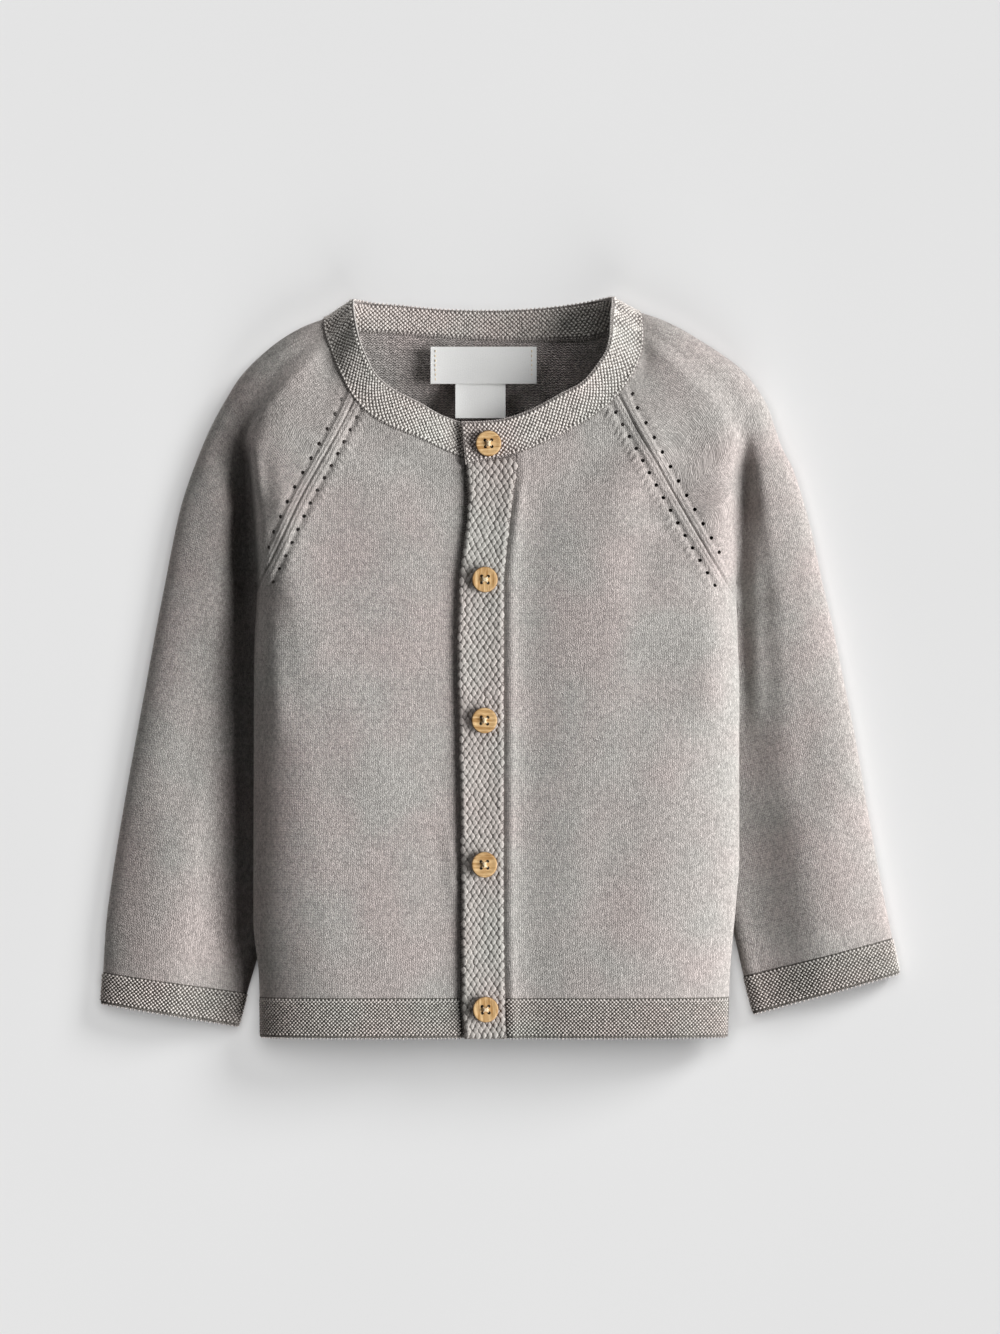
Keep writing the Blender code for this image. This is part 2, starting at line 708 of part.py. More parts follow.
def bottom_row(outer, end, fold, lip):
    """The layer that lies on the surface, from the outer fold to the seam."""
    width = np.linalg.norm(end - outer)
    distances = bottom_columns(width)
    plan = straight(outer, end, distances)
    heights = fold * (1.0 - fold_in(distances, OUTER_TUCK))
    heights = heights + lip * (1.0 - fold_in(width - distances, INNER_TUCK))
    return np.column_stack([plan, heights])


def sleeve_row(values):
    """One row of a sleeve below the underarm."""
    outer, start = values[0:2], values[2:4]
    under, low, lip, lower_lip, high, fold = values[4:]
    width = np.linalg.norm(outer - start)
    crease = under * width
    distances, roll = top_columns(width, crease)
    plan = straight(start, outer, distances)
    profile = outer_profile(distances, width, roll, crease, low, high, fold)
    edge = fold_in(distances, min(INNER_ROLL, 1.2 * crease))
    heights = lip + (profile - lip) * edge
    top = np.column_stack([plan, heights])
    return np.vstack([top, bottom_row(outer, start, fold, lower_lip)])


def cap_rows(side):
    rows = np.array(CAP_ROWS)
    return [
        cap_row(side, down, *smooth(rows[:, 0], rows[:, 1:], down))
        for down in np.linspace(0.0, 1.0, YOKE_ROWS + 1)
    ]


def build_sleeve(side):
    caps = np.array(cap_rows(side))
    top_count = len(caps[0]) - len(bottom_columns(100.0))
    caps[0], neck_rim = neck_row(side, caps[0], top_count)
    table = np.array(SLEEVE_ROWS[side])
    at = sleeve_lengths(table)
    lower = [
        sleeve_row(smooth(at, table, where))
        for where in np.linspace(0.0, at[-2], SLEEVE_LOWER_ROWS + 1)[1:]
    ]
    points = np.concatenate([caps, np.array(lower)])
    shares = np.concatenate([np.linspace(1.0, 0.0, len(caps)), np.zeros(len(lower))])
    points = raise_rib(points, blend(shares, 0.02, 0.12))
    points = pull_in(points, ("first_row", "last_row", "first_column", "last_column"))
    front = [raglan_rim(side, share) for share in shares[: len(caps) - 1]] + [DOWN]
    back = [UP] * len(caps)
    below = list(slit_rims(points[len(caps) :], top_count))
    rims = {"first_row": neck_rim, "first_column": front + below, "last_column": back + below}
    wall(f"sleeve_{side}", points, CLOTH, "knit", -1 if side == "right" else 1, rims)


def slit_rims(points, top_count):
    """Level directions from a tube's slit into its hollow, one to a row."""
    rims = points[:, top_count - 1] - points[:, 0]
    return unit(rims * (1.0, 1.0, 0.0))


def sleeve_lengths(table):
    """Length down the sleeve at each row of its table."""
    middles = (table[:, 0:2] + table[:, 2:4]) / 2
    steps = np.linalg.norm(np.diff(middles, axis=0), axis=1)
    return np.concatenate([[0.0], np.cumsum(steps)])


def neck_row(side, row, top_count):
    """The sleeve's first row, which follows the neckband's seam over the shoulder."""
    top, bottom = row[:top_count], row[top_count:]
    start, end = top[0, :2], top[-1, :2]
    top_shares = np.linalg.norm(top[:, :2] - start, axis=1) / np.linalg.norm(end - start)
    span = np.linalg.norm(bottom[-1, :2] - end)
    bottom_shares = np.linalg.norm(bottom[:, :2] - end, axis=1) / span
    at = NECK_AT[side]
    front = neck_between(at["raglan"], at["shoulder"], top_shares)
    back = neck_between(at["shoulder"], at["back"], bottom_shares)
    return np.vstack([front[0], back[0]]), np.vstack([front[1], back[1]])


def build_cuff(side):
    table = np.array(SLEEVE_ROWS[side])
    at = sleeve_lengths(table)
    rows = [sleeve_row(smooth(at, table, where)) for where in np.linspace(at[-2], at[-1], 4)]
    points = pull_in(np.array(rows), ("first_row", "first_column", "last_column"))
    slit = slit_rims(points, points.shape[1] - len(bottom_columns(100.0)))
    rims = {"first_column": slit, "last_column": slit}
    facing = -1 if side == "right" else 1
    wall(f"cuff_{side}", points, BAND_CLOTH, "band_knit", facing, rims)


# ---- neckband, front bands, label and buttons ----


def build_neckband():
    _, lengths = neck_stations()
    where = np.unique(np.concatenate([lengths, (lengths[1:] + lengths[:-1]) / 2]))
    free, seam = neck_edges(where)
    shares = np.array([0.0, 0.33, 0.67, 1.0])
    points = seam[:, None] + (free - seam)[:, None] * shares[None, :, None]
    points = pull_in(points, ("first_column",))
    rims = {"first_column": neck_rims(where)}
    wall("neckband", points, BAND_CLOTH, "band_knit", -1, rims)


def band_rows(top_y, bottom_y, free_inset, sewn_inset, lift, count):
    """A front band's outer points, from its foot to its head under the neckband."""
    rows = []
    for share in np.linspace(0.0, 1.0, count + 1):
        left_y = bottom_y + share * (top_y[0] - bottom_y)
        right_y = bottom_y + share * (top_y[1] - bottom_y)
        left_x = read(FRONT_BAND, left_y, 1) + free_inset
        right_x = read(FRONT_BAND, right_y, 2) - sewn_inset
        across = np.linspace(0.0, 1.0, 5)
        x = left_x + (right_x - left_x) * across
        y = left_y + (right_y - left_y) * across
        height = np.where(x < BAND_MIDDLE_X, top_height("right", x, y), top_height("left", x, y))
        rows.append(np.column_stack([x, y, height + lift]))
    return np.array(rows)


def build_front_bands():
    top = (84.4, 88.6)
    over = band_rows(top, FRONT_HEM_Y - 0.4, 0.0, 0.0, BAND_LAP, 22)
    over = pull_in(over, ("last_row", "last_column"))
    wall("buttonhole_band", over, BAND_CLOTH, "band_knit", -1, {"last_column": DOWN})
    under_top = (87.2, 85.0)
    under = band_rows(under_top, FRONT_HEM_Y, -0.8, 2.0, 0.0, 16)
    under = pull_in(under, ("first_column", "last_row"))
    wall("button_band", under, CLOTH, "band_knit", -1, {"first_column": DOWN})


def build_label(name, size, centre, height, columns):
    across = np.linspace(-0.5, 0.5, columns) * size[0] + centre[0]
    up = np.linspace(-0.5, 0.5, 3) * size[1] + centre[1]
    points = np.array([[(x, y, height) for x in across] for y in up])
    wall(name, points, LABEL_CLOTH, "satin", -1)


def build_labels():
    on_back = CLOTH + SEAM_GAP + LABEL_CLOTH
    build_label("size_tab", TAB_SIZE, TAB_CENTRE, on_back, 4)
    build_label("label", LABEL_SIZE, LABEL_CENTRE, on_back + LABEL_CLOTH + SEAM_GAP, 8)


def turned(profile, sides, centre):
    """A closed solid turned about a vertical axis, from a profile of radius and height."""
    mesh = bmesh.new()
    rings = []
    for radius, height in profile:
        if radius == 0:
            rings.append([mesh.verts.new((centre[0] * MM, centre[1] * MM, height * MM))])
            continue
        ring = []
        for k in range(sides):
            angle = 2 * math.pi * (k + 0.5) / sides
            x = centre[0] + radius * math.cos(angle)
            y = centre[1] + radius * math.sin(angle)
            ring.append(mesh.verts.new((x * MM, y * MM, height * MM)))
        rings.append(ring)
    for lower, upper in zip(rings, rings[1:]):
        for k in range(sides):
            a, b = lower[k % len(lower)], lower[(k + 1) % len(lower)]
            c, d = upper[(k + 1) % len(upper)], upper[k % len(upper)]
            mesh.faces.new(dict.fromkeys((a, b, c, d)))
    bmesh.ops.recalc_face_normals(mesh, faces=mesh.faces)
    return mesh


def button_profile(base):
    """Radius and height down a button: flat foot, round edge, raised rim and dished middle."""
    radius, top = BUTTON_DIAMETER / 2, base + BUTTON_THICKNESS
    return (
        (0.0, base),
        (radius - 0.9, base),
        (radius, base + 0.9),
        (radius, top - 0.6),
        (radius - 0.5, top),
        (radius - BUTTON_RIM, top),
        (radius - BUTTON_RIM - 0.6, top - BUTTON_DISH),
        (0.0, top - BUTTON_DISH),
    )


def build_button(number, centre):
    x, y = centre
    base = float(crest(x, y)) + BAND_LAP + BUTTON_REST
    button = finish(
        f"button_{number}", turned(button_profile(base), BUTTON_SIDES, centre), "wood"
    )
    holes = bmesh.new()
    for step_x in (-0.5, 0.5):
        for step_y in (-0.5, 0.5):
            middle = (x + step_x * BUTTON_HOLE_PITCH, y + step_y * BUTTON_HOLE_PITCH)
            bottom, top = base - 1.0, base + BUTTON_THICKNESS + 1.0
            radius = BUTTON_HOLE / 2
            pin = ((0.0, bottom), (radius, bottom), (radius, top), (0.0, top))
            single = turned(pin, BUTTON_HOLE_SIDES, middle)
            data = bpy.data.meshes.new("pin")
            single.to_mesh(data)
            single.free()
            holes.from_mesh(data)
            bpy.data.meshes.remove(data)
    cutter = finish(f"button_{number}_pins", holes, "wood")
    cutter.hide_render = True
    cutter.display_type = "WIRE"
    cut = button.modifiers.new("holes", "BOOLEAN")
    cut.operation = "DIFFERENCE"
    cut.solver = "EXACT"
    cut.object = cutter


def make_materials():
    made = {}
    for name, colour in COLOURS.items():
        material = bpy.data.materials.new(name)
        material.use_nodes = True
        shader = material.node_tree.nodes["Principled BSDF"]
        shader.inputs["Base Color"].default_value = colour
        shader.inputs["Roughness"].default_value = ROUGHNESS[name]
        shader.inputs["Metallic"].default_value = 0.0
        made[name] = material
    return made


def build_cardigan():
    for side in ("right", "left"):
        build_front(side)
        build_front_hem(side)
        build_sleeve(side)
        build_cuff(side)
    build_back()
    build_back_hem()
    build_neckband()
    build_front_bands()
    build_labels()
    for number, centre in enumerate(BUTTONS, start=1):
        build_button(number, centre)


for old in list(bpy.data.objects):
    bpy.data.objects.remove(old)
MATERIALS = make_materials()
build_cardigan()
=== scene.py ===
"""Baby cardigan in fine knit, laid face up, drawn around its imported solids.

Every knitted piece is a thin closed shell of cloth on its solid's form: rows and columns of
outer points worked out from the garment's sizes, with the raglan ribs, eyelets, seams and soft
creases raised in them. Moss stitches, edge chains and sewing are laid on the bands by one
Geometry Nodes tree. Sizes are millimetres until a mesh is made. X points to the wearer's left,
Y to the neck and Z up from the surface.
"""

import json
import math

import bmesh
import bpy
import numpy as np
from mathutils import Matrix, Vector

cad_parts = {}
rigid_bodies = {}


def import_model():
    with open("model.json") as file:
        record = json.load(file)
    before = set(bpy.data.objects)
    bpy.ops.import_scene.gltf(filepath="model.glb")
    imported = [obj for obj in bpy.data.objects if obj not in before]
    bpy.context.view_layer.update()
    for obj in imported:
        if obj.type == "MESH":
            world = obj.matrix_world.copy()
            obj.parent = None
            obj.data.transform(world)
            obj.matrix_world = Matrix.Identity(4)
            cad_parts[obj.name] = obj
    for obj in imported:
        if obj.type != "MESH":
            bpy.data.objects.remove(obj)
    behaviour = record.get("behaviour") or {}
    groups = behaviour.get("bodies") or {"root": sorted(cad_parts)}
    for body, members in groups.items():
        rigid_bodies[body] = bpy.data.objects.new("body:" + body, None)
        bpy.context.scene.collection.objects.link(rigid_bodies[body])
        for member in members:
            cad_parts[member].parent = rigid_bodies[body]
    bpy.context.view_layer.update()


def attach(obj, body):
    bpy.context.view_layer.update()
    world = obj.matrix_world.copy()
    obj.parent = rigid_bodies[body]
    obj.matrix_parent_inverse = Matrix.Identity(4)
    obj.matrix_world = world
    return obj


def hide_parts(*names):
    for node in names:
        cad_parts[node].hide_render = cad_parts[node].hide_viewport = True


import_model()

MM = 0.001
CLOTH = 1.2
BAND_CLOTH = 1.5
UNDER_BAND_CLOTH = 1.2

# ---- how finely each piece is drawn, and its small relief ----

SIDES = ("right", "left")
INWARDS = {"right": 1, "left": -1}
# Whether a front or sleeve faces along (1) or against (-1) its rows crossed by its columns.
FACING = {"right": -1, "left": 1}
STOCKING = ("stocking", "purl")
MOSS_SIDES = ("moss", "moss")
BAND_SIDES = ("band", "band")
UP = np.array([0.0, 0.0, 1.0])
DOWN = -UP

# Pitches of knitted columns and rows.
WALE, COURSE = 1.6, 1.06

# Grid rows to each eyelet, and rows left above the first one.
EYELET_ROWS, FIRST_EYELET_ROWS = 8, 6
EYELET_PITCH = {"body": 6.2, "sleeve": 6.6}
# Least share of the way up a raglan that has an eyelet.
LOWEST_EYELET = {"body": 0.05, "sleeve": 0.2}
EYELET_OFF = 4.5
EYELET_RADIUS = 0.85
# Distances off the raglan seam of the fine columns beside it.
SEAM_COLUMNS = np.array(
    (0, 0.35, 0.7, 1.1, 1.5, 1.9, 2.3, 2.7, 3.1, 3.75, 4.5, 5.25, 6.0, 6.8, 7.6, 8.6, 9.6, 10.8)
)
# Numbers of rows and columns in each stretch of the grids.
ROLL_COLUMNS = 16
FRONT_COLUMNS = 40
BODY_ROWS = 104
HEM_ROWS = 12
# Distances from a side edge of the fine columns of the back.
BACK_OFFSETS = np.array(
    (0, 0.5, 1, 1.5, 2, 2.6, 3.2, 4, 5, 6.5, 8, 10, 12.5, 15, 18, 21.5, 25, 29, 33, 37.5, 42)
)
BACK_MIDDLE = 40
BACK_YOKE_ROWS = 60
# How far the underside of hems and cuffs is lifted for its stitches.
UNDER_LIFT = 0.35
SLEEVE_INNER = 12
SLEEVE_FLAT = 14
SLEEVE_ROLL = 16
SLEEVE_TUCK = 8
SLEEVE_UNDER = 20
SLEEVE_LOWER_ROWS = 120
BOTTOM_COUNT = 2 * SLEEVE_TUCK + SLEEVE_UNDER - 1
# Share of the way up a raglan where a front takes on the columns of its yoke.
YOKE_START = 0.05
# Where rows begin to be drawn to the neckband: shares of the way up the front and back
# raglans, and of the way down a sleeve's.
FRONT_SETTLE, BACK_SETTLE, SLEEVE_SETTLE = 0.55, 0.6, 0.12
# Where a sleeve's top is evened out near the neck: on Y, and off the raglan; and how many
# times down its columns and across its rows.
EVEN_FROM_Y, EVEN_OFF_SEAM, EVEN_DOWN, EVEN_ACROSS = (84, 104), (1, 6), 90, 10
CUFF_ROWS = 12
NECK_ROWS = 300
NECK_COLUMNS = 14
PLACKET_ROWS = 200

# Height beside each seam or edge: distance off it, height.
BAND_SIDE_RELIEF = ((0, -0.6), (1.2, 0), (3, 0.5), (6, 0), (12, 0))
RAGLAN_RELIEF = {
    "body": (
        (0, -0.1), (0.9, 0.38), (1.7, 0.2), (2.4, 0.4), (3.1, 0.2), (4.5, -0.3), (5.8, 0.1),
        (7, 0),
    ),
    "sleeve": ((0, -0.4), (1.2, 0.32), (1.9, 0.15), (2.6, 0.32), (3.9, -0.28), (5.5, 0)),
}
# Height of the slanted stitch marks beside each raglan, and the share of the way up it at
# which its relief has its full height.
RAGLAN_MARKS = {"body": (0.8, 0.06), "sleeve": (0.25, 0.08)}
BACK_RAGLAN_RELIEF = ((0, 0), (1.2, 0.35), (2.4, 0.15), (3.6, 0.3), (5, 0))
HEM_RELIEF = ((0, -0.1), (0.8, 0.05), (2.4, 0.15), (6, 0.1))
NECK_SEAM_RELIEF = ((0, 0.2), (1.2, 0.45), (2.4, -0.1), (4.5, 0))
NECK_EDGE_RELIEF = ((0, 0.15), (1, 0.35), (2, 0), (3, 0))
PLACKET_EDGE_RELIEF = ((0, -0.9), (1.2, 0), (3, 0))
PLACKET_SEWN_RELIEF = ((0, -0.6), (1.5, 0), (3, 0))

# How far in from each side edge the cloth rolls over, which is sharper by the underarm.
ROLL_SHAPE = {
    "right": ((-156, 40), (-100, 34), (-40, 27), (10, 21), (40, 16), (90, 14)),
    "left": ((-156, 54), (90, 54)),
}
# How far the buttonhole band's free edge strays from a true line: y, sideways.
BAND_STRAY = ((-156, 0), (-98, 0), (-40, -0.8), (11, -1.7), (34, -1), (61, 0.8), (88, 0))
# Soft folds: x0, y0, x1, y1, half width, height.
SHARED_CREASES = {
    "right": (
        (-105, 108, -101, 66, 3.5, 3.2), (-101, 66, -98, 34, 4, 2.6), (-98, 34, -92, -30, 6, 1.6),
        (-88, 60, -78, -10, 10, 0.6),
    ),
    "left": (
        (84, 110, 74, 84, 8, -2), (74, 84, 61, 56, 12, -1.8), (61, 56, 60, 22, 12, -2),
        (60, 22, 60, -26, 13, -1.1), (99, 110, 96, 84, 6, 2.2), (96, 84, 92, 40, 10, 3.6),
        (92, 40, 90, -24, 11, 2.6),
    ),
}
BODY_CREASES = (
    *SHARED_CREASES["right"], *SHARED_CREASES["left"], (-22, -70, -19, -98, 2.6, 0.7),
    (-66, 104, -24, 76, 11, -1.6), (24, 78, 64, 102, 11, -1.2), (-75, 20, -50, -60, 14, 0.7),
    (60, -20, 40, -120, 13, -0.8),
)
SLEEVE_CREASES = {
    "right": (
        (-118, 104, -111, 66, 5, -2.2), (-111, 66, -107, 16, 5, -1.6),
        (-118, 20, -132, -60, 9, -0.8), (-132, -56, -141, -140, 15, 2),
        (-78, 138, -106, 112, 12, -1.8),
    ),
    "left": (
        (104, 92, 104, 62, 4, -1.9), (106, 54, 108, -24, 4, 1.6), (131, -56, 140, -140, 15, 2.4),
        (124, -10, 131, -60, 8, -0.5), (82, 137, 105, 112, 9, 1.4),
    ),
}
# Painted shade: cloth darkened where a sleeve tucks in beside the body, standing in for
# the body's shadow on it: y, strength, and the depths beyond the side edge at which it
# starts to fade and is gone.
PAINTED_TUCK_SHADE = {
    "right": (
        (-150, 0.8, 4, 13), (-120, 0.95, 7, 18), (-80, 1, 9, 24), (-30, 1, 9, 24), (20, 1, 7, 20),
        (45, 1, 5, 17), (86, 0.9, 3, 10), (104, 0.3, 2, 8), (114, 0, 2, 8),
    ),
    "left": (
        (-150, 0.2, 0.5, 6.5), (-60, 0.4, 0.5, 6.5), (20, 0.25, 0.5, 5.5), (48, 0.55, 0.5, 6),
        (66, 0.85, 0.5, 7), (84, 0.75, 0.5, 6.5), (98, 0, 0.5, 6.5),
    ),
}
BACK_CREASES = ((-40, 60, -30, -40, 12, 0.8), (50, 20, 30, -90, 10, 0.7))

# Stitch lattices: pitches, bare margins, and the size, roundness and sinking of one stitch.
HEM_MOSS = {
    "across": 1.59, "down": 0.795, "ends": (0.5, 1), "sides": (0.4, 0.4),
    "size": (1.05, 0.9, 1.15), "detail": 1, "lift": 0.05, "finish": "moss_yarn",
}
CUFF_MOSS = {**HEM_MOSS, "across": 1.74, "down": 0.86, "size": (1.14, 0.98, 1.2)}
PLACKET_MOSS = {
    "across": 2.55, "down": 1.93, "ends": (0.8, 0.4), "sides": (0.7, 0.6),
    "size": (2.45, 3.55, 0.6), "detail": 2, "lift": 0, "finish": "band_yarn", "square": True,
    "point": 0.7,
}
NECK_MOSS = {
    "across": 1.74, "down": 0.935, "ends": (0.4, 0.4), "sides": (1.5, 0.8),
    "size": (1.36, 1.3, 1), "detail": 1, "lift": 0, "finish": "neck_yarn", "square": True,
}
STITCH_VARIATION = 0.12
# How far cast-off stitches stand out of their edge.
TICK_OUT = 0.3
# Edge and seam stitches: pitch, then length along the edge, width and height.
EDGE_CHAIN = (1.1, 1.5, 0.8, 0.8)
BACK_TICKS = (1.74, 1.05, 1.3, 1)
LINK_CHAIN = (1.74, 1.3, 1, 0.9)
HEM_JOIN = (1.59, 1.2, 0.9, 0.9)
HEM_TICKS = (1.59, 0.95, 1.5, 1.1)
CUFF_TICKS = (1.9, 1.15, 1.4, 1.1)

# Woven labels, inside the back of the neck.
TAPE_CLOTH = 0.4
LABEL_SIZE, LABEL_CENTRE, LABEL_HEIGHT, LABEL_RISE = (44.5, 15.6), (-6.9, 126.6), 5.6, 1.2
TAB_SIZE, TAB_CENTRE, TAB_HEIGHT = (21.0, 16.4), (-8.2, 112.4), 5.0

BUTTON_DIAMETER, BUTTON_THICKNESS, BUTTON_DISH = 10.8, 2.6, 0.12
BUTTON_HOLE_RADIUS, BUTTON_HOLE_OFF = 0.68, 1.95
BUTTON_TURNS = (0.04, 1.55, -0.05, 3.18, 1.61)
BUTTON_SIDES = 72
# How deep a button presses into its band, and the square of how wide.
BUTTON_DIP, BUTTON_DIP_SPREAD = 0.35, 42.0
THREAD_RADIUS, THREAD_SIDES = 0.26, 8
KNOT_RADIUS, KNOT_SHAPE = 0.95, (0.85, 1.35, 0.6, 1.0)

# The cloth over each solid: its finish, what it lies on, and how it was cut: width, length,
# and area in square centimetres.
SHEETS = {
    "back": ("knit", ["floor"], 208, 280, 515),
    "hem_back": ("band_knit", ["floor"], 200, 16, 31.6),
    "front_right": ("knit", ["back_knit"], 98, 250, 205),
    "front_left": ("knit", ["back_knit"], 106, 252, 225),
    "sleeve_right": ("knit", ["floor"], 143, 302, 337),
    "sleeve_left": ("knit", ["floor"], 140, 301, 326),
    "hem_front_right": ("band_knit", ["hem_back_knit"], 92, 17, 15.2),
    "hem_front_left": ("band_knit", ["hem_back_knit"], 99, 17, 16.4),
    "cuff_right": ("band_knit", ["floor"], 131, 15.5, 16.9),
    "cuff_left": ("band_knit", ["floor"], 138, 15.7, 20.7),
    "neckband": ("band_knit", ["floor"], 342, 18.7, 52.4),
    "buttonhole_band": ("band_knit", ["button_band_knit", "front_right_knit"], 22.3, 242.5, 45.3),
    "button_band": ("band_knit", ["front_right_knit"], 20.6, 241.6, 41),
    "label": ("satin", ["size_tape"], 44.5, 15.6, 6.9),
    "size_tab": ("satin", ["back_knit"], 21, 16.4, 3.4),
}

KNIT = (0.47, 0.437, 0.418)
PURL = (0.5, 0.457, 0.44)
# The cloth under the bands' stitches: the yarn's colour darkened with painted shade, standing in
# for the shadow in the gaps between the stitches.
MOSS_GROUND_SHADE = (0.205, 0.192, 0.176)
BAND_GROUND_SHADE = (0.34, 0.312, 0.296)
# Painted light: a lighter copy of the yarn for the moss stitches, making up for the shade they
# cast on each other.
MOSS_YARN_LIT = (0.66, 0.627, 0.594)
BAND_YARN = (0.485, 0.459, 0.434)
# Painted light: a lighter copy again for the neckband's stitches.
NECK_YARN_LIT = (0.7, 0.664, 0.63)
EDGE_YARN = (0.5, 0.468, 0.448)
THREAD = (0.78, 0.64, 0.43)
SATIN = (0.9, 0.9, 0.885)
WOOD_LIGHT, WOOD_DARK = (0.86, 0.59, 0.3), (0.47, 0.25, 0.085)
# Painted shade on the buttons' sides and rim, standing in for the shadow line round each one.
WOOD_EDGE_SHADE = (0.2, 0.1, 0.035)
FLOOR = (0.8, 0.8, 0.8)
# Warm and cool stretches of the yarn, as shares of its colour.
YARN_TINTS = ((1.04, 0.99, 0.986), (0.976, 1.006, 0.994))

FLOOR_HALF = 3000.0
SENSOR_WIDTH = 36.0
VIEW_LENGTH, VIEW_MIDDLE_Y, VIEW_PLANE, CAMERA_DISTANCE = 0.56028, -0.0002, 0.008, 3.0
AIR_STRENGTH = 0.03
# Soft lights: name, what they light, direction round from X, height above the horizon,
# width, strength.
LIGHTS = (
    ("key", "garment", -2, 30, 32, 3.65), ("low_front", "garment", -30, 15, 30, 2.3),
    ("low_back", "garment", 60, 12, 28, 0.95), ("fill", "garment", 135, 30, 32, 0.4),
    ("floor_key", "floor", 40, 27, 22, 1.55), ("floor_front", "floor", -80, 26, 32, 0.9),
    ("floor_top", "floor", 90, 78, 60, 1.9),
)

# Lengthwise stations of the body, on Y.
HEM_TOP_Y = -138.5
FRONT_HEM_Y = -155.2
BACK_HEM_Y = -154.4

# The front band, on X, and how far the wearer's left front is lifted to lie over the right.
BAND_MIDDLE_X = -7.0
BAND_LAP = 2.6
LAP_RISE = BAND_LAP - 0.3
LAP_FADE = 8.0
# How far short of that band's free edge the right front ends.
FRONT_SHORT = 0.8
VALLEY_DEPTH = 3.2
VALLEY_HALF_WIDTH = 24.0

# Width beside each side edge that has the fine columns of the roll.
ROLL_WIDTH = {"right": 31, "left": 54}
# The underside touches the surface out to here on either side, then rises to the side seam.
FLAT_HALF_WIDTH = 60.0
UNDERSIDE_POWER = 1.5
UNDERARM_FADE = 26.0

# Side edge of the body, and of the crease above it: y, x.
SIDE_EDGE = {
    "right": (
        (-155, -100.8), (-130, -101.2), (-107, -103.5), (-56, -103.4), (11, -103), (30.5, -102.2),
        (70, -104.2), (99, -106.3), (120, -108),
    ),
    "left": (
        (-155, 95.6), (-125, 96.8), (-96, 99.4), (-81, 100.4), (-14, 100.4), (28, 99.4),
        (61, 99.6), (95, 100.9), (114, 107), (125, 109),
    ),
}

# Height of the top face along the body: y, height of the crest.
CREST = (
    (-156, 24.5), (-110, 26), (-20, 26.6), (40, 26.2), (75, 24.6), (105, 22.2), (125, 20.6),
    (160, 18.6),
)
# Height of the side seam, and above the underarm of the crease in the sleeve: y, height.
SEAM_HEIGHT = (
    (-156, 8.6), (-125, 9.6), (-60, 10.8), (0, 10.6), (18, 8.2), (30, 5.6), (45, 6), (62, 6.6),
    (77, 8.6), (92, 12.6), (106, 17), (120, 20.8), (160, 18.6),
)

# Front raglan seam, underarm to neck: x, y.
RAGLAN = {
    "right": ((-102.2, 30.5), (-92.6, 50), (-83.4, 69.9), (-72.4, 89.6), (-60.9, 111.5)),
    "left": ((99.4, 27.5), (86.8, 47.8), (74.6, 68.6), (61.6, 91.8), (49.4, 113.4)),
}
# Back raglan seam, underarm to neck: x, y.
BACK_RAGLAN = {
    "right": ((-102.2, 30.5), (-89, 60), (-77, 95), (-66, 127), (-62.2, 140.9)),
    "left": ((99.4, 27.5), (86, 58), (72, 95), (53, 127), (46.2, 139.7)),
}
# Shoulder and outer sleeve fold above the underarm, neck to underarm: x, y.
SHOULDER = {
    "right": (
        (-74.3, 145.9), (-84, 142), (-92.4, 137), (-100.8, 130.2), (-108.9, 121.8), (-114.6, 113),
        (-120.1, 103.2), (-127.8, 85.5), (-133.6, 68.7), (-137.8, 50.2), (-140.3, 37.2),
    ),
    "left": (
        (58.8, 148.7), (67.2, 145.9), (75.6, 142), (84, 137), (92.4, 131.6), (100.8, 125.3),
        (106.6, 118.6), (112, 110), (115.4, 100.6), (118.6, 91.6), (122.6, 84), (126.2, 73.6),
        (130.4, 58.6), (135.2, 36.3),
    ),
}

# Rows of a sleeve above the underarm: share of the way down the raglan seam, height of the
# crest beyond the crease, height of the outer fold.
# down, crest, fold
CAP_ROWS = ((0, 17.6, 8.6), (0.25, 16.2, 8.2), (0.5, 14, 7.4), (0.75, 12.8, 6.6), (1, 12.3, 6))
# Rows of a sleeve below the underarm: outer fold x, y, inner edge x, y, share of the row
# under the body. SLEEVE_HEIGHTS has for each row, on both sides, the height there, heights
# of the seam's two lips, crest, fold.
# out_x, out_y, in_x, in_y, under
SLEEVE_ROWS = {
    "right": (
        (-140.3, 37.2, -102.2, 30.5, 0.05), (-144.2, 17.4, -95.8, 9, 0.12),
        (-148.6, -6.5, -93.6, -16.2, 0.17), (-153.4, -32.5, -93.4, -42.6, 0.16),
        (-158.2, -59.4, -94, -70.3, 0.15), (-162.8, -87.6, -97, -98.9, 0.1),
        (-165.6, -108.6, -101.2, -119.1, 0.08), (-166.8, -128.3, -106.3, -137.1, 0.08),
        (-167.7, -141.3, -109.8, -151, 0.08),
    ),
    "left": (
        (135.2, 36.3, 99.4, 27.5, 0.05), (139.6, 17.8, 93.4, 6.9, 0.12),
        (144.2, -4.8, 91.6, -17.4, 0.16), (149.6, -31.7, 91.4, -45.1, 0.15),
        (154.2, -58.6, 92.8, -72.9, 0.13), (158.8, -83.8, 95.2, -98.1, 0.1),
        (162.2, -101.4, 99, -114.9, 0.08), (164.8, -114, 102.4, -130, 0.08),
        (167.9, -128.7, 106.5, -145.9, 0.08),
    ),
}
# low, lip, lower_lip, crest, fold
SLEEVE_HEIGHTS = (
    (5.4, 5.2, 1.2, 12.3, 6), (5.6, 3.4, 3.4, 12.3, 5.9), (5.9, 3.4, 3.4, 12.3, 5.8),
    (6.2, 3.4, 3.4, 12.3, 5.8), (6.2, 3.4, 3.4, 12.3, 5.8), (6.2, 3.4, 3.4, 12.3, 5.8),
    (6.4, 3.5, 3.5, 12.3, 5.8), (7.4, 3.8, 3.8, 11.8, 5.7), (7.6, 3.9, 3.9, 11.6, 5.6),
)
OUTER_ROLL = 20.0
OUTER_TUCK = 6.0
INNER_ROLL = 6.0
INNER_TUCK = 4.0
LEAST_CREASE = 0.05
MOST_CREASE = 0.66

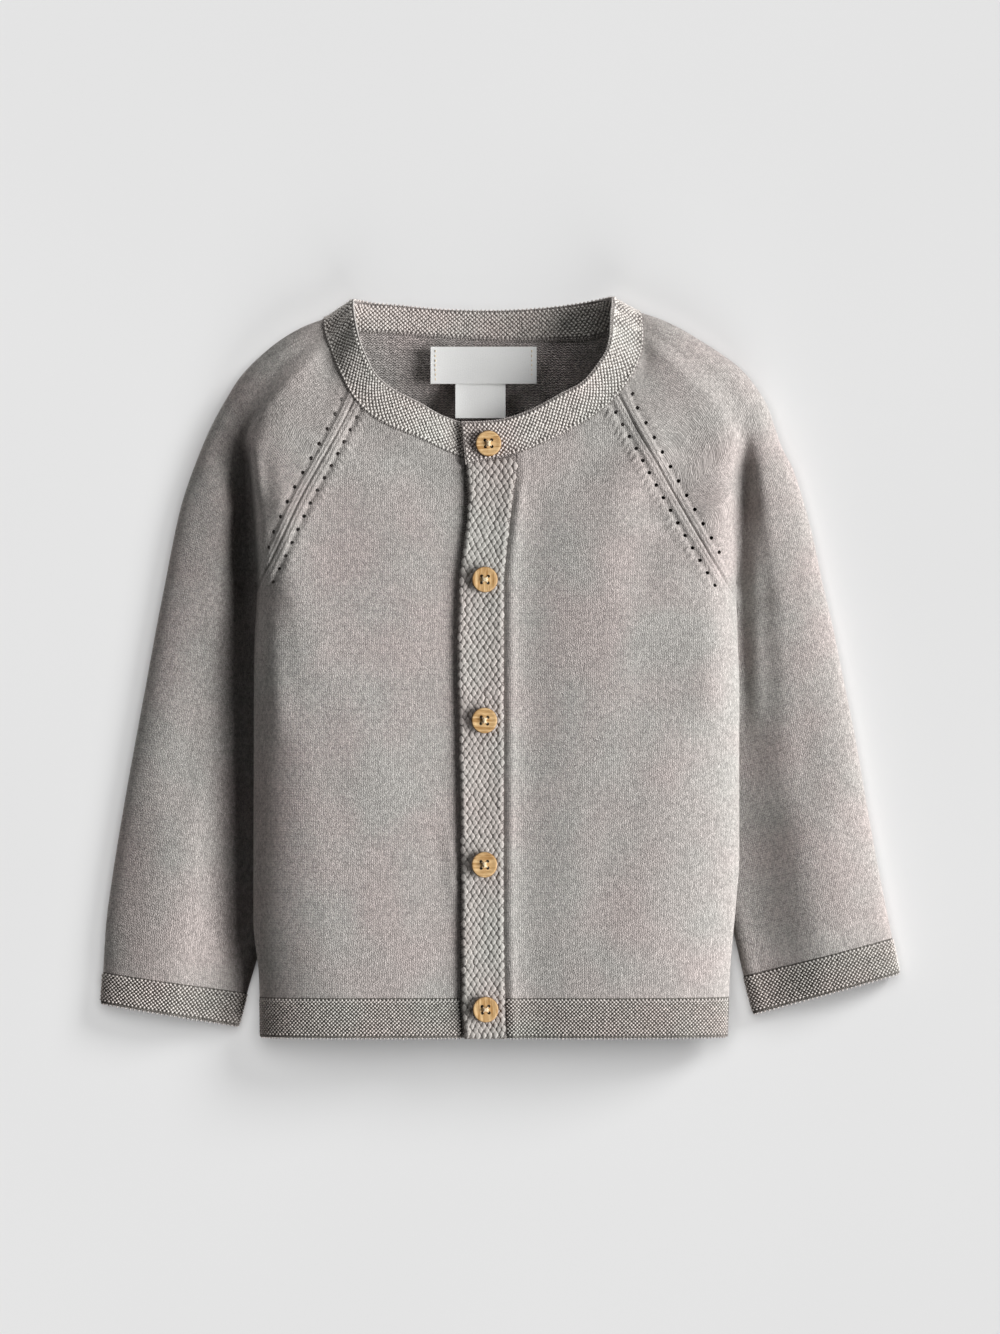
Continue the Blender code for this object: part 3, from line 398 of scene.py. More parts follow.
# The neckband, station by station from the wearer's right front end, over both shoulders,
# to the left front end on top of it. Heights count from the front's top face where
# on_front is 1, and from the surface where it is 0.
# free_x, free_y, free_z, seam_x, seam_y, seam_z, on_front
NECKBAND = (
    (0.8, 100.2, 0, 0.8, 85.9, 0, 1), (-16.4, 102.1, 0.2, -16.8, 87.6, 0, 1),
    (-23.5, 104.6, 1.2, -22.6, 90, 0, 1), (-34, 110.4, 2.2, -33.6, 95.2, 0, 1),
    (-45.4, 116.4, 2.8, -46.4, 100.4, 0, 1), (-52.3, 122.6, 3.2, -55, 105.4, 0, 1),
    (-55.8, 129.2, 3.4, -60.9, 111.5, 0, 1), (-59.2, 138, 3.2, -67, 122.6, -0.8, 1),
    (-60.9, 146.2, 0.4, -71.6, 133.6, -4.2, 1), (-61.6, 151.8, 14.6, -74.2, 141.8, 12.6, 0),
    (-61.6, 154.2, 8.6, -74.3, 145.9, 8.6, 0), (-59.8, 154, 4, -71.6, 144.6, 2.2, 0),
    (-54.6, 153.1, 1.2, -62.2, 140.9, 0, 0), (-42, 151.8, 0.1, -47, 140, 0, 0),
    (-25.2, 150.2, 0, -27.3, 138.4, 0, 0), (-4.2, 149.7, 0, -4.2, 137.1, 0, 0),
    (16.8, 150.6, 0, 16.8, 136.7, 0, 0), (33, 152.6, 0.1, 35.4, 137.2, 0, 0),
    (40.6, 154.1, 1.2, 46.2, 139.7, 0, 0), (45.4, 155, 4, 56.2, 146.8, 2.2, 0),
    (47, 155.2, 8.6, 58.8, 148.7, 8.6, 0), (47, 152.8, 14.6, 60, 144.4, 12.6, 0),
    (46.4, 147, 0.4, 60.3, 136.6, -4.2, 1), (45.8, 137.6, 3.2, 57, 124.6, -0.8, 1),
    (42.4, 128.6, 3.4, 49.4, 113.4, 0, 1), (36.1, 120.5, 3.2, 44, 108.2, 0, 1),
    (25.2, 113.9, 3, 33.2, 100.8, 0, 1), (11.8, 106.8, 2.8, 18.9, 93.6, 0.8, 1),
    (1.3, 103.4, 3, 7, 88.8, 2.4, 1), (-5.9, 102.5, 2.9, -4.2, 86.5, 2.6, 1),
    (-16.1, 102.2, 2.9, -14.4, 84.4, 2.6, 1),
)
# Stations of the neckband where other pieces begin or end along its seam edge.
NECK_AT = {
    "right": {"front_end": 1, "raglan": 6, "shoulder": 10, "back": 12},
    "left": {"front_end": 28, "raglan": 24, "shoulder": 20, "back": 18},
}

# Free and sewn edges of the buttonhole band: y, free x, sewn x.
FRONT_BAND = (
    (-155.8, -14.8, 2.9), (-137, -16, 2.2), (-98, -16.1, 1.6), (-39, -16.1, 1.7),
    (35.5, -16.1, 1.8), (53, -15.4, 3.4), (70, -14, 5.4), (84, -14.2, 7.4), (89, -14.3, 7),
)
# Where the fastened buttons sit: x, y.
BUTTONS = ((-4.8, 93.2), (-6.3, 36.3), (-6.5, -22.5), (-6.5, -82.7), (-6, -143.2))
BUTTON_REST = 0.5

# ---- curves and heights ----


def blend(value, low, high):
    """0 below low, 1 above high, and a soft step between."""
    t = np.clip((np.asarray(value, float) - low) / (high - low), 0.0, 1.0)
    return t * t * (3.0 - 2.0 * t)


def smooth(at, values, where):
    """A smooth curve through values given at rising positions, read at other positions."""
    at = np.asarray(at, float)
    values = np.asarray(values, float).reshape(len(at), -1)
    where = np.clip(np.asarray(where, float), at[0], at[-1])
    steps = np.diff(at)[:, None]
    slopes = np.diff(values, axis=0) / steps
    middle = (slopes[1:] * steps[:-1] + slopes[:-1] * steps[1:]) / (steps[1:] + steps[:-1])
    limit = 3.0 * np.minimum(np.abs(slopes[1:]), np.abs(slopes[:-1]))
    middle = np.where(slopes[1:] * slopes[:-1] > 0, np.clip(middle, -limit, limit), 0.0)
    tangents = np.vstack([slopes[:1], middle, slopes[-1:]])
    cell = np.clip(np.searchsorted(at, where, side="right") - 1, 0, len(steps) - 1)
    step = steps[cell]
    t = (where - at[cell])[..., None] / step
    first, last = values[cell], values[cell + 1]
    return (
        first * (1 - t) ** 2 * (1 + 2 * t)
        + tangents[cell] * step * t * (1 - t) ** 2
        + last * t**2 * (3 - 2 * t)
        - tangents[cell + 1] * step * t**2 * (1 - t)
    )


def read(table, where, column=1):
    """One column of a table, as a smooth function of its first column."""
    rows = np.array(table, float)
    return smooth(rows[:, 0], rows[:, column], where)[..., 0]


def run_lengths(points):
    """Length along a line of points, from its first point."""
    steps = np.linalg.norm(np.diff(points, axis=0), axis=1)
    return np.concatenate([[0.0], np.cumsum(steps)])


def along(points, shares):
    """Points at these shares of a smooth curve's length."""
    lengths = run_lengths(np.asarray(points, float)[:, :2])
    return smooth(lengths / lengths[-1], points, shares)


def crest(x, y):
    """Height of the top face away from the edges, with its valley at the front band."""
    valley = np.exp(-(((x - BAND_MIDDLE_X) / VALLEY_HALF_WIDTH) ** 2))
    return read(CREST, y) - VALLEY_DEPTH * valley


def depth_in(side, x, y):
    """Distance in from the body's side edge."""
    return (x - read(SIDE_EDGE[side], y)) * INWARDS[side]


def top_height(side, x, y):
    """Height of the front's top face, which rolls down to the side seam or the crease."""
    depth = np.clip(depth_in(side, x, y) / read(ROLL_SHAPE[side], y), 0.0, 1.0)
    seam = read(SEAM_HEIGHT, y)
    return seam + (crest(x, y) - seam) * np.sqrt(depth * (2.0 - depth))


def front_height(x, y):
    """Height of the top face on either side of the front band."""
    return np.where(x < BAND_MIDDLE_X, top_height("right", x, y), top_height("left", x, y))


def lapped_height(x, y):
    """The left front's top face, lifted beside the band to lie over the right front."""
    past_band = np.clip(x - read(FRONT_BAND, y, 2), 0.0, None)
    return top_height("left", x, y) + LAP_RISE * np.exp(-((past_band / LAP_FADE) ** 2))


def under_height(side, x, y):
    """Height of the underside: flat in the middle, rising to the side seam."""
    edge = np.abs(read(SIDE_EDGE[side], y))
    share = np.clip((np.abs(x) - FLAT_HALF_WIDTH) / (edge - FLAT_HALF_WIDTH), 0.0, 1.0)
    underarm = RAGLAN[side][0][1]
    seam = np.where(y < underarm, read(SEAM_HEIGHT, y), read(SEAM_HEIGHT, underarm))
    seam = seam * (1.0 - blend(y, underarm, underarm + UNDERARM_FADE))
    return seam * (1.0 - (1.0 - share**UNDERSIDE_POWER) ** (1.0 / UNDERSIDE_POWER))


# ---- the neckband's edges, which every neck seam follows ----


def neck_stations():
    rows = np.array(NECKBAND, float)
    return rows, run_lengths(rows[:, 3:5])


def neck_edges(where):
    """Free and seam edge points of the neckband at these lengths along its seam."""
    rows, lengths = neck_stations()
    read_rows = smooth(lengths, rows, where)
    edges = []
    for first in (0, 3):
        x, y, z = read_rows[:, first], read_rows[:, first + 1], read_rows[:, first + 2]
        edges.append(np.stack([x, y, z + read_rows[:, 6] * front_height(x, y)], axis=1))
    return edges


def neck_between(start, end, shares):
    """Seam edge points between two stations, at shares of the way, and the way into the cloth."""
    _, lengths = neck_stations()
    where = lengths[start] + (lengths[end] - lengths[start]) * np.asarray(shares)
    return neck_edges(where)[1], neck_rims(where)


def neck_rims(where):
    """Directions into the cloth along the neckband's seam."""
    before, after = neck_edges(where - 0.5), neck_edges(where + 0.5)
    across = (before[0] + after[0]) - (before[1] + after[1])
    return unit(np.cross(after[1] - before[1], across))


# ---- cloth grids and shells ----


EDGES = {
    "first_row": (np.s_[0], np.s_[1]),
    "last_row": (np.s_[-1], np.s_[-2]),
    "first_column": (np.s_[:, 0], np.s_[:, 1]),
    "last_column": (np.s_[:, -1], np.s_[:, -2]),
}


def unit(vectors):
    vectors = np.asarray(vectors, float)
    return vectors / np.maximum(np.linalg.norm(vectors, axis=-1, keepdims=True), 1e-9)


def normals_of(points):
    """Unit normals of a grid of points, on the side that rows cross columns."""
    down, across = np.gradient(points, axis=0), np.gradient(points, axis=1)
    return unit(np.cross(down, across))


def raised(points, relief):
    """A grid of points lifted by a relief, square to the cloth."""
    normals = normals_of(points)
    return points + normals * np.sign(normals[..., 2:3] + 1e-9) * relief[..., None]


def border_quads(index, kept, layer):
    """Rim faces on each side of a kept cell that has no kept neighbour there."""
    padded = np.pad(kept, 1)
    corners = (index[:-1, :-1], index[:-1, 1:], index[1:, 1:], index[1:, :-1])
    sides = (
        (0, 1, padded[:-2, 1:-1]),
        (1, 2, padded[1:-1, 2:]),
        (2, 3, padded[2:, 1:-1]),
        (3, 0, padded[1:-1, :-2]),
    )
    quads = []
    for start, end, neighbour in sides:
        edge = kept & ~neighbour
        a, b = corners[start][edge], corners[end][edge]
        quads.append(np.stack([b, a, a + layer, b + layer], axis=1))
    return np.concatenate(quads)


def shell(name, outer, thickness, finishes, facing, uv, rims=None, holes=None, painted_shade=None):
    """A closed shell of cloth from a grid of outer points. facing is -1 where rows cross
    columns inwards. finishes names the right side and the wrong side of the cloth. rims
    gives, for a named edge, the directions in which its thickness is laid. holes marks
    the cells that are left out, and the last argument gives each point's painted shade,
    darkening that stands in for shadow where a sleeve tucks in beside the body.
    """
    inwards = -facing * normals_of(outer)
    for edge, directions in (rims or {}).items():
        inwards[EDGES[edge][1]] = unit(inwards[EDGES[edge][1]] + unit(directions))
    for edge, directions in (rims or {}).items():
        inwards[EDGES[edge][0]] = unit(directions)
    rows, columns = outer.shape[:2]
    layer = rows * columns
    index = np.arange(layer).reshape(rows, columns)
    kept = np.ones((rows - 1, columns - 1), bool) if holes is None else ~holes
    right = np.stack(
        [index[:-1, :-1], index[:-1, 1:], index[1:, 1:], index[1:, :-1]], axis=-1
    )[kept]
    quads = np.concatenate([right, right[:, ::-1] + layer, border_quads(index, kept, layer)])
    if facing > 0:
        quads = quads[:, ::-1]
    sides = np.zeros(len(quads), int)
    sides[len(right) : 2 * len(right)] = 1
    points = np.concatenate([outer.reshape(-1, 3), (outer + thickness * inwards).reshape(-1, 3)])
    plan = np.concatenate([uv.reshape(-1, 2)] * 2)
    dark = None if painted_shade is None else np.concatenate([painted_shade.ravel()] * 2)
    return mesh_piece(name, points, quads, finishes, sides, plan, dark)


def mesh_piece(name, points, faces, finishes, face_finish=None, uv=None, painted_shade=None):
    """An object from points in millimetres, without the points that no face uses."""
    used, faces = np.unique(faces, return_inverse=True)
    faces = faces.reshape(-1, 4)
    data = bpy.data.meshes.new(name)
    data.from_pydata((points[used] * MM).tolist(), [], faces.tolist())
    for finish in finishes:
        data.materials.append(FINISHES[finish])
    if face_finish is not None:
        data.polygons.foreach_set("material_index", face_finish.astype(np.int32))
    if uv is not None:
        layer = data.uv_layers.new(name="Cloth")
        layer.uv.foreach_set("vector", uv[used][faces.ravel()].astype(np.float32).ravel())
    # Painted shade, kept as a point attribute that the knit finish darkens the colour by.
    if painted_shade is not None:
        dark = data.attributes.new("painted_shade", "FLOAT", "POINT")
        dark.data.foreach_set("value", painted_shade[used].astype(np.float32))
    data.shade_smooth()
    data.set_sharp_from_angle(angle=math.radians(50))
    data.validate()
    return placed(name, data)


def placed(name, data):
    """An object in the scene for this mesh, lamp or camera."""
    obj = bpy.data.objects.new(name, data)
    bpy.context.scene.collection.objects.link(obj)
    return obj


def lengths_of(points, axis):
    """Length along each row (axis 1) or column (axis 0) of a grid, from its first point."""
    steps = np.linalg.norm(np.diff(points, axis=axis), axis=2)
    pad = ((1, 0), (0, 0)) if axis == 0 else ((0, 0), (1, 0))
    return np.pad(np.cumsum(steps, axis=axis), pad)


def shares_from(start, points):
    """How far points are from a start in plan, as shares of how far the last one is."""
    reach = np.linalg.norm(points[:, :2] - start[:2], axis=1)
    return reach / reach[-1]


def row_widths(points):
    """Unrolled widths of the cells of each row."""
    steps = np.diff(points, axis=1)
    return np.hypot(steps[..., 0], steps[..., 2])


def slant_of(first, second):
    """Size of the sine of the angle between unit vectors in plan."""
    return np.abs(first[:, 0] * second[:, 1] - first[:, 1] * second[:, 0])


def plain_plan(points):
    """Flat positions on a strip of cloth: length along its rows, and down its middle."""
    down = lengths_of(points, 0)[:, points.shape[1] // 2]
    return np.stack([lengths_of(points, 1), np.repeat(down[:, None], points.shape[1], 1)], -1)


def creases(x, y, folds):
    """Height that soft ridges (positive) and troughs (negative) add at plan positions."""
    total = np.zeros(np.shape(x))
    for x0, y0, x1, y1, half_width, height in folds:
        along_fold = np.array([x1 - x0, y1 - y0])
        length = np.hypot(*along_fold)
        t = ((x - x0) * along_fold[0] + (y - y0) * along_fold[1]) / length**2
        off = np.abs((x - x0) * along_fold[1] - (y - y0) * along_fold[0]) / length
        ends = blend(t, -0.15, 0.25) * (1.0 - blend(t, 0.75, 1.15))
        total += height * ends * np.exp(-((off / half_width) ** 2))
    return total


# ---- body ----


def front_edge_x(side, y):
    """Where a front meets its band."""
    if side == "right":
        return read(FRONT_BAND, y, 1) - FRONT_SHORT
    return read(FRONT_BAND, y, 2)


def raglan_length(side):
    return run_lengths(np.array(RAGLAN[side]))[-1]


def yoke_shares(side, pitch):
    """Even steps up a raglan seam, EYELET_ROWS of them to each eyelet."""
    count = round(raglan_length(side) / pitch * EYELET_ROWS)
    return np.linspace(0.0, 1.0, count + 1)


def row_slants(side, starts, ends, shares):
    """How much longer a distance off the seam is along each slanted row."""
    step = 0.01
    low, high = np.clip(shares - step, 0, 1), np.clip(shares + step, 0, 1)
    seam = unit(along(RAGLAN[side], high) - along(RAGLAN[side], low))
    return 1.0 / np.maximum(slant_of(seam, unit(ends - starts)), 0.5)


def front_columns(side, width, slant, past):
    """Distances in from the seam to the band: round the roll on the body, and fine beside
    the raglan above it."""
    roll = ROLL_WIDTH[side] * round_in(0, 90, len(SEAM_COLUMNS) + ROLL_COLUMNS)
    flat = np.linspace(ROLL_WIDTH[side], width, FRONT_COLUMNS + 1)[1:]
    body = np.concatenate([roll, flat])
    fine = SEAM_COLUMNS * slant
    count = ROLL_COLUMNS + FRONT_COLUMNS
    rest = fine[-1] + (width - fine[-1]) * np.arange(1, count + 1) / count
    return (1 - past) * body + past * np.concatenate([fine, rest])


def front_heights(side, x, y):
    if side == "left":
        height = lapped_height(x, y)
        height = height + read(BAND_SIDE_RELIEF, x - read(FRONT_BAND, y, 2))
    else:
        height = top_height("right", x, y)
    return height + creases(x, y, BODY_CREASES)


def body_ends(side, y):
    """Plan ends of a front's rows below the underarm, on the side seam and at the band."""
    return [np.column_stack([x, y]) for x in (read(SIDE_EDGE[side], y), front_edge_x(side, y))]


def front_rows(side):
    """Plan ends of each row of a front: on the side or raglan seam, and at the band."""
    underarm = np.array(RAGLAN[side][0])
    station = NECK_AT[side]["front_end"]
    neck = neck_between(station, station, [0.0])[0][0]
    body = np.linspace(HEM_TOP_Y, underarm[1], BODY_ROWS + 1)
    shares = yoke_shares(side, EYELET_PITCH["body"])[1:]
    starts, ends = body_ends(side, body)
    band_y = underarm[1] + shares * (neck[1] - underarm[1])
    yoke_ends = np.column_stack([front_edge_x(side, band_y), band_y])
    yoke_ends[-1] = neck[:2]
    starts = np.vstack([starts, along(RAGLAN[side], shares)])
    ends = np.vstack([ends, yoke_ends])
    return starts, ends, np.concatenate([np.zeros(len(body)), shares])


def front_points(side, starts, ends, shares):
    """A grid over a front, and each point's distance square off the raglan seam."""
    slants = row_slants(side, starts, ends, shares)
    points, offs = [], []
    for start, end, share, slant in zip(starts, ends, shares, slants):
        width = np.linalg.norm(end - start)
        offsets = front_columns(side, width, slant, blend(share, 0.0, YOKE_START))
        plan = start + (end - start) * (offsets / width)[:, None]
        points.append(np.column_stack([plan, front_heights(side, plan[:, 0], plan[:, 1])]))
        offs.append(offsets / slant)
    return np.array(points), np.array(offs)


def raglan_rim(side, share):
    """Direction into the cloth at the front raglan seam: square to the top face there."""
    x, y = along(RAGLAN[side], share)
    x += 0.6 * INWARDS[side]
    step = 0.3
    slope_x = top_height(side, x + step, y) - top_height(side, x - step, y)
    slope_y = top_height(side, x, y + step) - top_height(side, x, y - step)
    return unit([slope_x, slope_y, -2 * step])


def side_rim(side):
    return np.array([INWARDS[side], 0.0, 0.0])


def eyelet_rows(shares, part):
    """Grid rows on which eyelets are centred, counted down from the neck."""
    last = len(shares) - 1
    rows = np.arange(last - FIRST_EYELET_ROWS, 2, -EYELET_ROWS)
    return [row for row in rows if shares[row] > LOWEST_EYELET[part]]


def pierce(points, rows):
    """Opens a round eyelet on each of these grid rows, and returns the cells left out."""
    column = int(np.argmin(np.abs(SEAM_COLUMNS - EYELET_OFF)))
    holes = np.zeros((points.shape[0] - 1, points.shape[1] - 1), bool)
    for row in rows:
        holes[row - 1 : row + 1, column - 1 : column + 1] = True
        centre = points[row, column].copy()
        block = points[row - 1 : row + 2, column - 1 : column + 2]
        ring = centre + unit(block - centre) * EYELET_RADIUS
        ring[1, 1] = centre
        points[row - 1 : row + 2, column - 1 : column + 2] = ring
    return holes


def seam_relief(side, part, offs, shares):
    """Height beside a raglan seam: ribs and a groove along it, then slanted stitch marks."""
    marks, fade = RAGLAN_MARKS[part]
    lengths = (shares * raglan_length(side))[:, None]
    relief = read(RAGLAN_RELIEF[part], offs)
    wave = 0.5 + 0.5 * np.cos(2 * np.pi * (lengths + 0.8 * offs) / (EYELET_PITCH[part] / 2))
    window = blend(offs, 5.4, 6.6) * (1.0 - blend(offs, 7.6, 10.2))
    uneven = 0.7 + 0.3 * np.sin(0.9 * lengths) * np.sin(0.37 * lengths + 1.0)
    return blend(shares, 0.0, fade)[:, None] * (relief + marks * uneven * window * wave**2)


def settled(points, neck, weights):
    """A grid drawn towards the neckband's seam, which its last row then follows."""
    return points + weights[:, None, None] * (neck - points[-1])[None]


def build_front(side):
    starts, ends, shares = front_rows(side)
    points, offs = front_points(side, starts, ends, shares)
    at = NECK_AT[side]
    spread = shares_from(points[-1, 0], points[-1])
    neck, neck_rim = neck_between(at["raglan"], at["front_end"], spread)
    points = settled(points, neck, blend(shares, FRONT_SETTLE, 1.0))
    plan = front_plan(points, side)
    points = raised(points, seam_relief(side, "body", offs, shares))
    holes = pierce(points, eyelet_rows(shares, "body"))
    seam_rim = [raglan_rim(side, share) if share else side_rim(side) for share in shares]
    rims = {"last_row": neck_rim, "first_column": seam_rim, "last_column": DOWN}
    cloth = CLOTH, STOCKING, FACING[side], plan, rims, holes
    return shell(f"front_{side}_knit", points, *cloth)


def front_plan(points, side):
    """Flat positions on a front: unrolled width from the band, and distance up."""
    widths = row_widths(points)[:, ::-1]
    from_band = np.pad(np.cumsum(widths, axis=1)[:, ::-1], ((0, 0), (0, 1)))
    across = points[:, -1:, 0] - INWARDS[side] * from_band
    return np.stack([across, points[..., 1]], axis=-1)


def hem_relief(points):
    """The hem's knit stands a little proud, below a fine line where it is picked up."""
    return raised(points, read(HEM_RELIEF, lengths_of(points, 0)))


def moss_band(name, points, facing, plan, *ends):
    """The cloth of a hem or cuff, and the directions into it at its first and last column."""
    rims = dict(zip(("first_column", "last_column"), ends))
    return shell(f"{name}_knit", points, BAND_CLOTH, MOSS_SIDES, facing, plan, rims)


def build_front_hem(side):
    rows = np.linspace(HEM_TOP_Y, FRONT_HEM_Y, HEM_ROWS + 1)
    points, _ = front_points(side, *body_ends(side, rows), np.zeros(len(rows)))
    points, name, facing = hem_relief(points), f"hem_front_{side}", -FACING[side]
    hem = moss_band(name, points, facing, front_plan(points, side), side_rim(side), DOWN)
    return hem, trim(name, bed_of(points[:, 3:], facing), HEM_MOSS, HEM_TICKS)


def back_row(ends):
    """One row across the back, from the wearer's right edge to the left edge."""
    (left_x, left_y), (right_x, right_y) = ends
    width = right_x - left_x
    near = BACK_OFFSETS * min(1.0, width / 2.6 / BACK_OFFSETS[-1])
    middle = np.linspace(near[-1], width - near[-1], BACK_MIDDLE + 2)[1:-1]
    across = np.concatenate([near, middle, width - near[::-1]])
    x = left_x + across
    y = left_y + (right_y - left_y) * across / width
    height = np.where(x < 0, under_height("right", x, y), under_height("left", x, y))
    height = height + np.clip(creases(x, y, BACK_CREASES), 0.0, None)
    return np.column_stack([x, y, height])


def back_rows():
    """A grid up the back, from its hem, and each row's share of the way up its raglans."""
    rows, shares = [], []
    for share in np.linspace(0.0, 1.0, BODY_ROWS + 1):
        ends = []
        for side in SIDES:
            y = HEM_TOP_Y + share * (RAGLAN[side][0][1] - HEM_TOP_Y)
            ends.append((read(SIDE_EDGE[side], y), y))
        rows.append(back_row(ends))
        shares.append(0.0)
    for share in np.linspace(0.0, 1.0, BACK_YOKE_ROWS + 1)[1:]:
        rows.append(back_row([along(BACK_RAGLAN[side], share) for side in SIDES]))
        shares.append(share)
    return np.array(rows), np.array(shares)


def back_plan(points):
    """Flat positions on the back: unrolled width from its middle, and distance up."""
    across = np.pad(np.cumsum(row_widths(points), axis=1), ((0, 0), (1, 0)))
    middle = points.shape[1] // 2
    across += points[:, middle : middle + 1, 0] - across[:, middle : middle + 1]
    return np.stack([across, points[..., 1]], axis=-1)


def build_back():
    points, shares = back_rows()
    spread = (points[-1, :, 0] - points[-1, 0, 0]) / np.ptp(points[-1, :, 0])
    neck, neck_rim = neck_between(NECK_AT["right"]["back"], NECK_AT["left"]["back"], spread)
    points = settled(points, neck, blend(shares, BACK_SETTLE, 1.0))
    across = lengths_of(points, 1)
    off = np.minimum(across, across[:, -1:] - across)
    points[..., 2] += blend(shares, 0.02, 0.1)[:, None] * read(BACK_RAGLAN_RELIEF, off)
    upright = blend(shares, 0.0, 0.15)[:, None]
    rims = {"last_row": neck_rim}
    for side, edge in (("right", "first_column"), ("left", "last_column")):
        rims[edge] = (1.0 - upright) * side_rim(side) + upright * UP
    return shell("back_knit", points, CLOTH, STOCKING, 1, back_plan(points), rims)


def build_back_hem():
    rows = []
    for y in np.linspace(HEM_TOP_Y, BACK_HEM_Y, HEM_ROWS + 1):
        rows.append(back_row([(read(SIDE_EDGE[side], y), y) for side in SIDES]))
    points = np.array(rows)
    points[..., 2] += UNDER_LIFT * blend(lengths_of(points, 0), 0.0, 2.0)
    hem = moss_band("hem_back", points, -1, back_plan(points), *(side_rim(s) for s in SIDES))
    bed = bed_of(points, -1)
    stitches = moss("hem_back_stitches", [(bed, HEM_MOSS)])
    return hem, [stitches, ticks("hem_back_edge", bed, HEM_TICKS)]


# ---- sleeves ----


def fold_in(distance, reach):
    """Share of full height at a distance from an edge that is rounded over a reach."""
    t = np.clip(distance / reach, 0.0, 1.0)
    return np.sqrt(t * (2.0 - t))


def round_in(start, end, count):
    """Even steps round a quarter turn, as shares of the way in from its edge."""
    return 1.0 - np.cos(np.radians(np.linspace(start, end, count)))


def top_columns(width, crease, slant):
    """Distances from the seam to the outer fold, across a sleeve's top layer."""
    squeeze = min(1.0, 0.8 * crease / (SEAM_COLUMNS[-1] * slant))
    near = SEAM_COLUMNS * slant * squeeze
    inner = near[-1] + (crease - near[-1]) * np.linspace(0, 1, SLEEVE_INNER + 1)[1:]
    roll = min(OUTER_ROLL, 0.6 * (width - crease))
    flat = crease + (width - roll - crease) * np.linspace(0, 1, SLEEVE_FLAT + 1)[1:-1]
    return np.concatenate([near, inner, flat, width - roll * round_in(90, 0, SLEEVE_ROLL)]), roll


def bottom_columns(width):
    """Distances from the outer fold to the seam, across a sleeve's bottom layer."""
    tuck = OUTER_TUCK * round_in(0, 90, SLEEVE_TUCK + 1)[1:]
    edge = INNER_TUCK * round_in(90, 0, SLEEVE_TUCK)
    middle = np.linspace(OUTER_TUCK, width - INNER_TUCK, SLEEVE_UNDER + 1)[1:-1]
    return np.concatenate([tuck, middle, width - edge])


def straight(start, end, distances):
    direction = (end - start) / np.linalg.norm(end - start)
    return start + direction * np.asarray(distances)[:, None]


def outer_profile(distances, width, roll, crease, low, high, fold):
    """Heights beyond the crease: up to the crest, then round to the outer fold."""
    rise = blend(distances, crease, crease + 0.5 * (width - crease))
    flat = low + (high - low) * rise
    return fold + (flat - fold) * fold_in(width - distances, roll)


def crease_share(side, start, outer):
    """Share of a row at which it crosses the body's side edge, where the crease runs."""
    shares = np.linspace(0.0, MOST_CREASE, 201)
    x, y = (start + (outer - start) * shares[:, None]).T
    depth = depth_in(side, x, y)
    last = int(np.flatnonzero(depth > 0).max(initial=0))
    if last in (0, len(shares) - 1):
        return max(LEAST_CREASE, shares[last])
    step = depth[last] / (depth[last] - depth[last + 1])
    return max(LEAST_CREASE, shares[last] + step * (shares[1] - shares[0]))


def sleeve_creases(side, plan):
    """Folds of a sleeve: the body's own ones inside its side edge, the sleeve's beyond it."""
    x, y = plan.T
    beyond = -depth_in(side, x, y)
    inner = creases(x, y, SHARED_CREASES[side]) * (1.0 - blend(beyond, -0.5, 2.5))
    return inner + creases(x, y, SLEEVE_CREASES[side]) * blend(beyond, -3.0, 1.0)


def cap_row(side, down, slant, high, fold):
    """One row of a sleeve above the underarm: front raglan, outer fold, back raglan."""
    start = along(RAGLAN[side], 1.0 - down)
    outer = along(SHOULDER[side], down)
    end = along(BACK_RAGLAN[side], 1.0 - down)
    width = np.linalg.norm(outer - start)
    crease = crease_share(side, start, outer) * width
    distances, roll = top_columns(width, crease, slant)
    plan = straight(start, outer, distances)
    heights = top_height(side, plan[:, 0], plan[:, 1])
    low = float(read(SEAM_HEIGHT, straight(start, outer, [crease])[0, 1]))
    profile = outer_profile(distances, width, roll, crease, low, high, fold)
    heights = np.where(distances > crease + 1e-6, profile, heights)
    heights = heights + sleeve_creases(side, plan) * fold_in(width - distances, roll)
    top = np.column_stack([plan, heights])
    lip = 1.2 * blend(down, 0.8, 1.0)
    return np.vstack([top, bottom_row(outer, end, fold, lip)]), distances / slant


def bottom_row(outer, end, fold, lip):
    """The layer that lies on the surface, from the outer fold to the seam."""
    width = np.linalg.norm(end - outer)
    distances = bottom_columns(width)
    plan = straight(outer, end, distances)
    heights = fold * (1.0 - fold_in(distances, OUTER_TUCK))
    heights = heights + lip * (1.0 - fold_in(width - distances, INNER_TUCK))
    return np.column_stack([plan, heights])


def sleeve_row(values, side):
    """One row of a sleeve below the underarm."""
    outer, start = values[0:2], values[2:4]
    under, low, lip, lower_lip, high, fold = values[4:]
    width = np.linalg.norm(outer - start)
    crease = under * width
    distances, roll = top_columns(width, crease, 1.0)
    plan = straight(start, outer, distances)
    profile = outer_profile(distances, width, roll, crease, low, high, fold)
    profile = profile + sleeve_creases(side, plan) * fold_in(width - distances, roll)
    edge = fold_in(distances, min(INNER_ROLL, 1.2 * crease))
    heights = lip + (profile - lip) * edge
    top = np.column_stack([plan, heights])
    return np.vstack([top, bottom_row(outer, start, fold, lower_lip)])


def sleeve_rows(side, first, last, count):
    """Rows of a sleeve below the underarm, evenly from one row of its table to another."""
    table = np.column_stack([SLEEVE_ROWS[side], SLEEVE_HEIGHTS])
    at = run_lengths((table[:, 0:2] + table[:, 2:4]) / 2)
    where = np.linspace(at[first], at[last], count + 1)
    return np.array([sleeve_row(values, side) for values in smooth(at, table, where)])


def neck_row(side, row, top_count):
    """The sleeve's first row, which follows the neckband's seam over the shoulder."""
    top, bottom, at = row[:top_count], row[top_count:], NECK_AT[side]
    front = neck_between(at["raglan"], at["shoulder"], shares_from(top[0], top))
    back = neck_between(at["shoulder"], at["back"], shares_from(top[-1], bottom))
    return np.vstack([front[0], back[0]]), np.vstack([front[1], back[1]])


